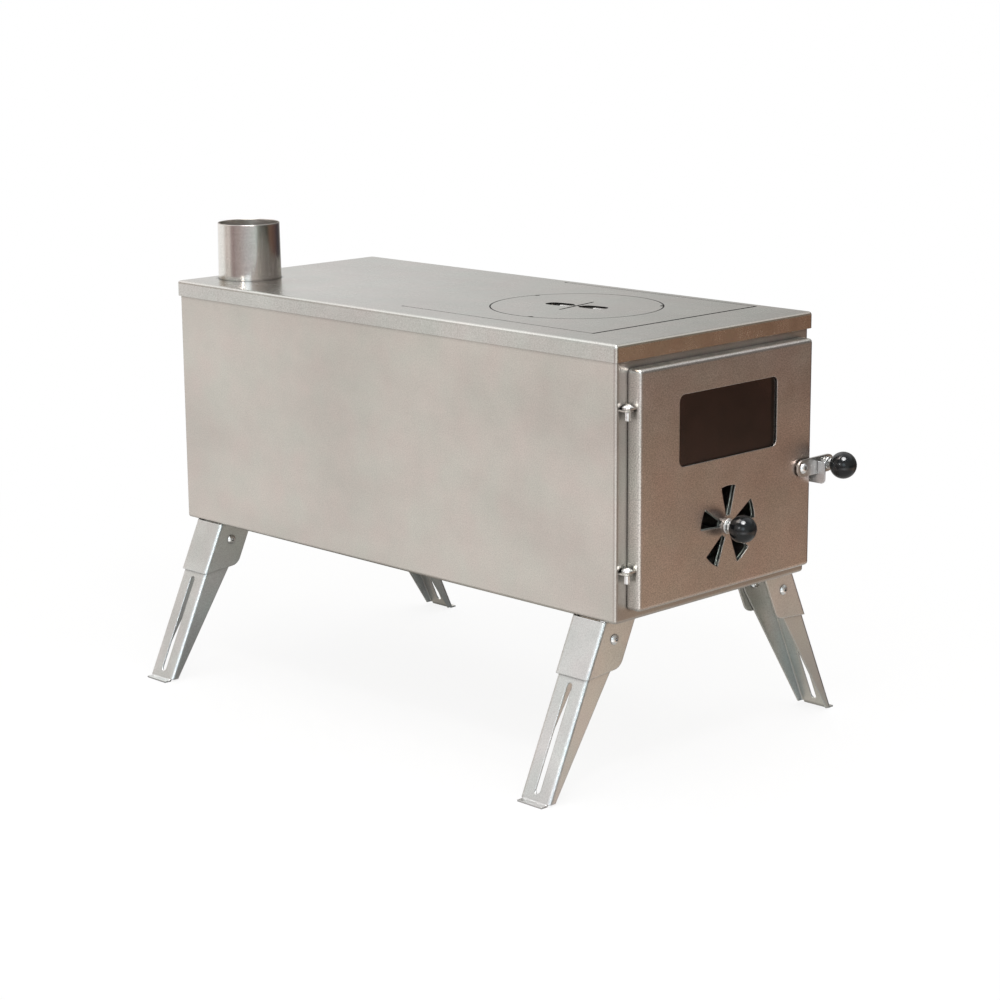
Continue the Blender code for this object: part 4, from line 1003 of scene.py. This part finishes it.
# The room that polished metal mirrors, in bands from the floor up. Each stop is an angle
# from +X in degrees and a colour.
FLOOR_ROUND = [(-180, (0.86, 0.81, 0.78)), (-165, (1.0, 0.98, 0.96)), (-135, (2.4, 2.4, 2.4)),
               (-105, (1.2, 1.12, 1.05)), (-80, (0.78, 0.58, 0.49)), (-42, (0.96, 0.76, 0.60)),
               (-25, (0.48, 0.36, 0.27)), (0, (0.08, 0.05, 0.05)), (25, (0.80, 0.78, 0.76)),
               (45, WHITE), (120, (0.90, 0.87, 0.86)), (138, (1.15, 1.15, 1.15)),
               (155, (1.25, 1.2, 1.18)), (180, (0.86, 0.81, 0.78))]
SKYLINE = [(-180, (0.43, 0.37, 0.37)), (-170, (0.47, 0.40, 0.39)), (-135, (0.56, 0.56, 0.58)),
           (-105, (0.69, 0.76, 0.76)), (-92, (0.18, 0.23, 0.20)), (-76, (0.02, 0.022, 0.02)),
           (-60, (0.05, 0.06, 0.045)), (-45, (0.17, 0.105, 0.075)), (-30, (0.145, 0.085, 0.068)),
           (0, (0.06, 0.05, 0.06)), (18, (0.10, 0.09, 0.09)), (38, (0.50, 0.50, 0.50)),
           (46, WHITE), (118, (1.2, 1.22, 1.22)), (138, (0.74, 0.69, 0.66)),
           (151, (0.85, 0.81, 0.78)), (162, (0.45, 0.38, 0.37)), (172, (0.35, 0.27, 0.27)),
           (180, (0.43, 0.37, 0.37))]
UPPER_ROUND = [(-180, (0.92, 0.94, 0.96)), (-135, (0.79, 0.79, 0.78)), (-100, (0.48, 0.46, 0.43)),
               (-60, (0.25, 0.245, 0.23)), (-20, (0.19, 0.185, 0.175)), (20, (0.40, 0.39, 0.36)),
               (38, (0.43, 0.42, 0.40)), (50, (0.82, 0.81, 0.80)), (62, (0.92, 0.91, 0.89)),
               (92, (0.85, 0.82, 0.78)), (115, (0.50, 0.42, 0.35)), (142, (0.94, 0.95, 0.95)),
               (180, (0.92, 0.94, 0.96))]
OVERHEAD_ROUND = [(-180, (0.38, 0.41, 0.43)), (-60, (0.40, 0.43, 0.45)),
                  (-25, (0.85, 0.87, 0.88)), (40, (0.9, 0.9, 0.9)),
                  (60, (1.5, 1.5, 1.5)), (130, (1.5, 1.5, 1.5)), (165, (0.6, 0.6, 0.6)),
                  (180, (0.38, 0.41, 0.43))]

# Each band starts to show at one height and has taken over at the next, where a height is
# the Z part of a direction.
ROOM_BANDS = ((-0.62, -0.42, FLOOR_ROUND), (-0.36, -0.14, SKYLINE),
              (-0.06, 0.14, UPPER_ROUND), (0.42, 0.64, OVERHEAD_ROUND))

# Softboxes in that room: the azimuth and height of each in degrees, the half angles of its
# bright core and of its faded edge, and its colour.
SOFTBOXES = ((225, 68, 11, 19, (21.0, 21.0, 21.0)),
             (222, 15, 4, 16, (1.9, 2.25, 2.45)))


def facing(azimuth, elevation):
    """The direction of a place in the room, from angles in degrees."""
    turn = math.radians(azimuth)
    rise = math.radians(elevation)
    return (math.cos(turn) * math.cos(rise), math.sin(turn) * math.cos(rise), math.sin(rise))


def compass_share(tree, direction):
    """A number that goes from 0 at -X through 0.5 at +X to 1 at -X again."""
    turn = maths(tree, "ARCTAN2", vector_part(tree, direction, "Y"),
                 vector_part(tree, direction, "X"))
    return maths(tree, "MULTIPLY_ADD", turn, 1 / (2 * math.pi), 0.5)


def mirrored_room(tree, under_colour):
    """The room that polished metal mirrors: pale behind and to the left, with a warm dark
    side in front of the door, and two softboxes."""
    direction = add_node(tree, "ShaderNodeTexCoord").outputs["Generated"]
    height = vector_part(tree, direction, "Z")
    round_about = compass_share(tree, direction)
    room = under_colour
    for low, high, stops in ROOM_BANDS:
        room = blend_colours(tree, height, low, high, room,
                             compass_ramp(tree, round_about, stops))
    for azimuth, elevation, core, edge, colour in SOFTBOXES:
        toward = vector_maths(tree, "DOT_PRODUCT", direction, facing(azimuth, elevation))
        room = blend_colours(tree, toward, math.cos(math.radians(edge)),
                             math.cos(math.radians(core)), room, colour)
    return room


def studio_world(stage):
    """White behind the stove, soft light on it, and a room for metal to mirror."""
    world = bpy.data.worlds.new("studio")
    bpy.context.scene.world = world
    world.use_nodes = True
    tree = world.node_tree
    tree.nodes.clear()
    kind = "ShaderNodeBackground"
    soft = light_shader(tree, kind, (1.0, 0.99, 0.975), stage.world_level)
    room = light_shader(tree, kind, mirrored_room(tree, tuple(stage.under_colour)))
    light = blend_shaders(tree, ray_switch(tree, "Is Glossy Ray"), soft, room)
    seen = ray_switch(tree, "Is Camera Ray", "Is Transmission Ray")
    light = blend_shaders(tree, seen, light, light_shader(tree, kind, WHITE))
    output = add_node(tree, "ShaderNodeOutputWorld")
    tree.links.new(light, output.inputs["Surface"])


def area_lamp(name, place, aim, size, power):
    """A rectangular softbox that looks at a point."""
    lamp = bpy.data.lights.new(name, "AREA")
    lamp.shape = "RECTANGLE"
    lamp.size = size[0]
    lamp.size_y = size[1]
    lamp.energy = power
    holder = bpy.data.objects.new(name, lamp)
    holder.location = place
    holder.rotation_mode = "QUATERNION"
    holder.rotation_quaternion = (Vector(aim) - Vector(place)).to_track_quat("-Z", "Y")
    bpy.context.scene.collection.objects.link(holder)


def photo_camera(stage):
    """The camera of the reference view."""
    azimuth = stage.azimuth
    elevation = stage.elevation
    roll = stage.roll
    back = Vector((math.sin(azimuth) * math.cos(elevation),
                   -math.cos(azimuth) * math.cos(elevation), math.sin(elevation)))
    level = Vector((0, 0, 1)).cross(back).normalized()
    upright = back.cross(level)
    right = level * math.cos(roll) + upright * math.sin(roll)
    up = upright * math.cos(roll) - level * math.sin(roll)
    data = bpy.data.cameras.new("photo_camera")
    data.lens = stage.lens
    data.sensor_width = 36.0
    data.clip_end = 50.0
    camera = bpy.data.objects.new("photo_camera", data)
    turn = Matrix((right, up, back)).transposed().to_4x4()
    camera.matrix_world = Matrix.Translation(stage.eye) @ turn
    bpy.context.scene.collection.objects.link(camera)
    bpy.context.scene.camera = camera


class STOVE_OT_stage(bpy.types.Operator):
    """Set up the floor, the soft light and the camera"""
    bl_idname = "stove.stage"
    bl_label = "Stage"

    def execute(self, context):
        stage = settings("stage")
        pale_floor(stage)
        shaded_floor(stage)
        studio_world(stage)
        front_of_stove = (0, -0.3, 0.22)
        area_lamp("key_softbox", (-0.62, -0.95, 1.75), front_of_stove, size=(0.30, 0.30),
                  power=5.0)
        area_lamp("side_softbox", (-1.95, -0.55, 0.95), front_of_stove, size=(0.20, 0.30),
                  power=3.0)
        photo_camera(stage)
        context.scene.view_settings.view_transform = "Standard"
        return {"FINISHED"}


class STOVE_PT_panel(bpy.types.Panel):
    """Lists the operators that make and dress the stove's pieces"""
    bl_idname = "STOVE_PT_panel"
    bl_label = "Camping Wood Stove"
    bl_space_type = "VIEW_3D"
    bl_region_type = "UI"
    bl_category = "Stove"

    def draw(self, context):
        for operator in OPERATORS:
            self.layout.operator(operator.bl_idname)


GROUPS = {"sheet": SheetSettings, "hardware": HardwareSettings, "knob": KnobSettings,
          "glass": GlassSettings, "stage": StageSettings}
OPERATORS = (STOVE_OT_stage, STOVE_OT_sheet, STOVE_OT_legs, STOVE_OT_flue, STOVE_OT_screws,
             STOVE_OT_hinge_pins, STOVE_OT_nuts, STOVE_OT_knobs, STOVE_OT_glass)


def register():
    for group in GROUPS.values():
        bpy.utils.register_class(group)
    for name, group in GROUPS.items():
        setattr(bpy.types.Scene, "stove_" + name, PointerProperty(type=group))
    for operator in OPERATORS:
        bpy.utils.register_class(operator)
    bpy.utils.register_class(STOVE_PT_panel)


def unregister():
    bpy.utils.unregister_class(STOVE_PT_panel)
    for operator in reversed(OPERATORS):
        bpy.utils.unregister_class(operator)
    for name, group in reversed(GROUPS.items()):
        delattr(bpy.types.Scene, "stove_" + name)
        bpy.utils.unregister_class(group)


def main():
    register()
    for operator in OPERATORS:
        group, name = operator.bl_idname.split(".")
        getattr(getattr(bpy.ops, group), name)()


if __name__ == "__main__":
    main()
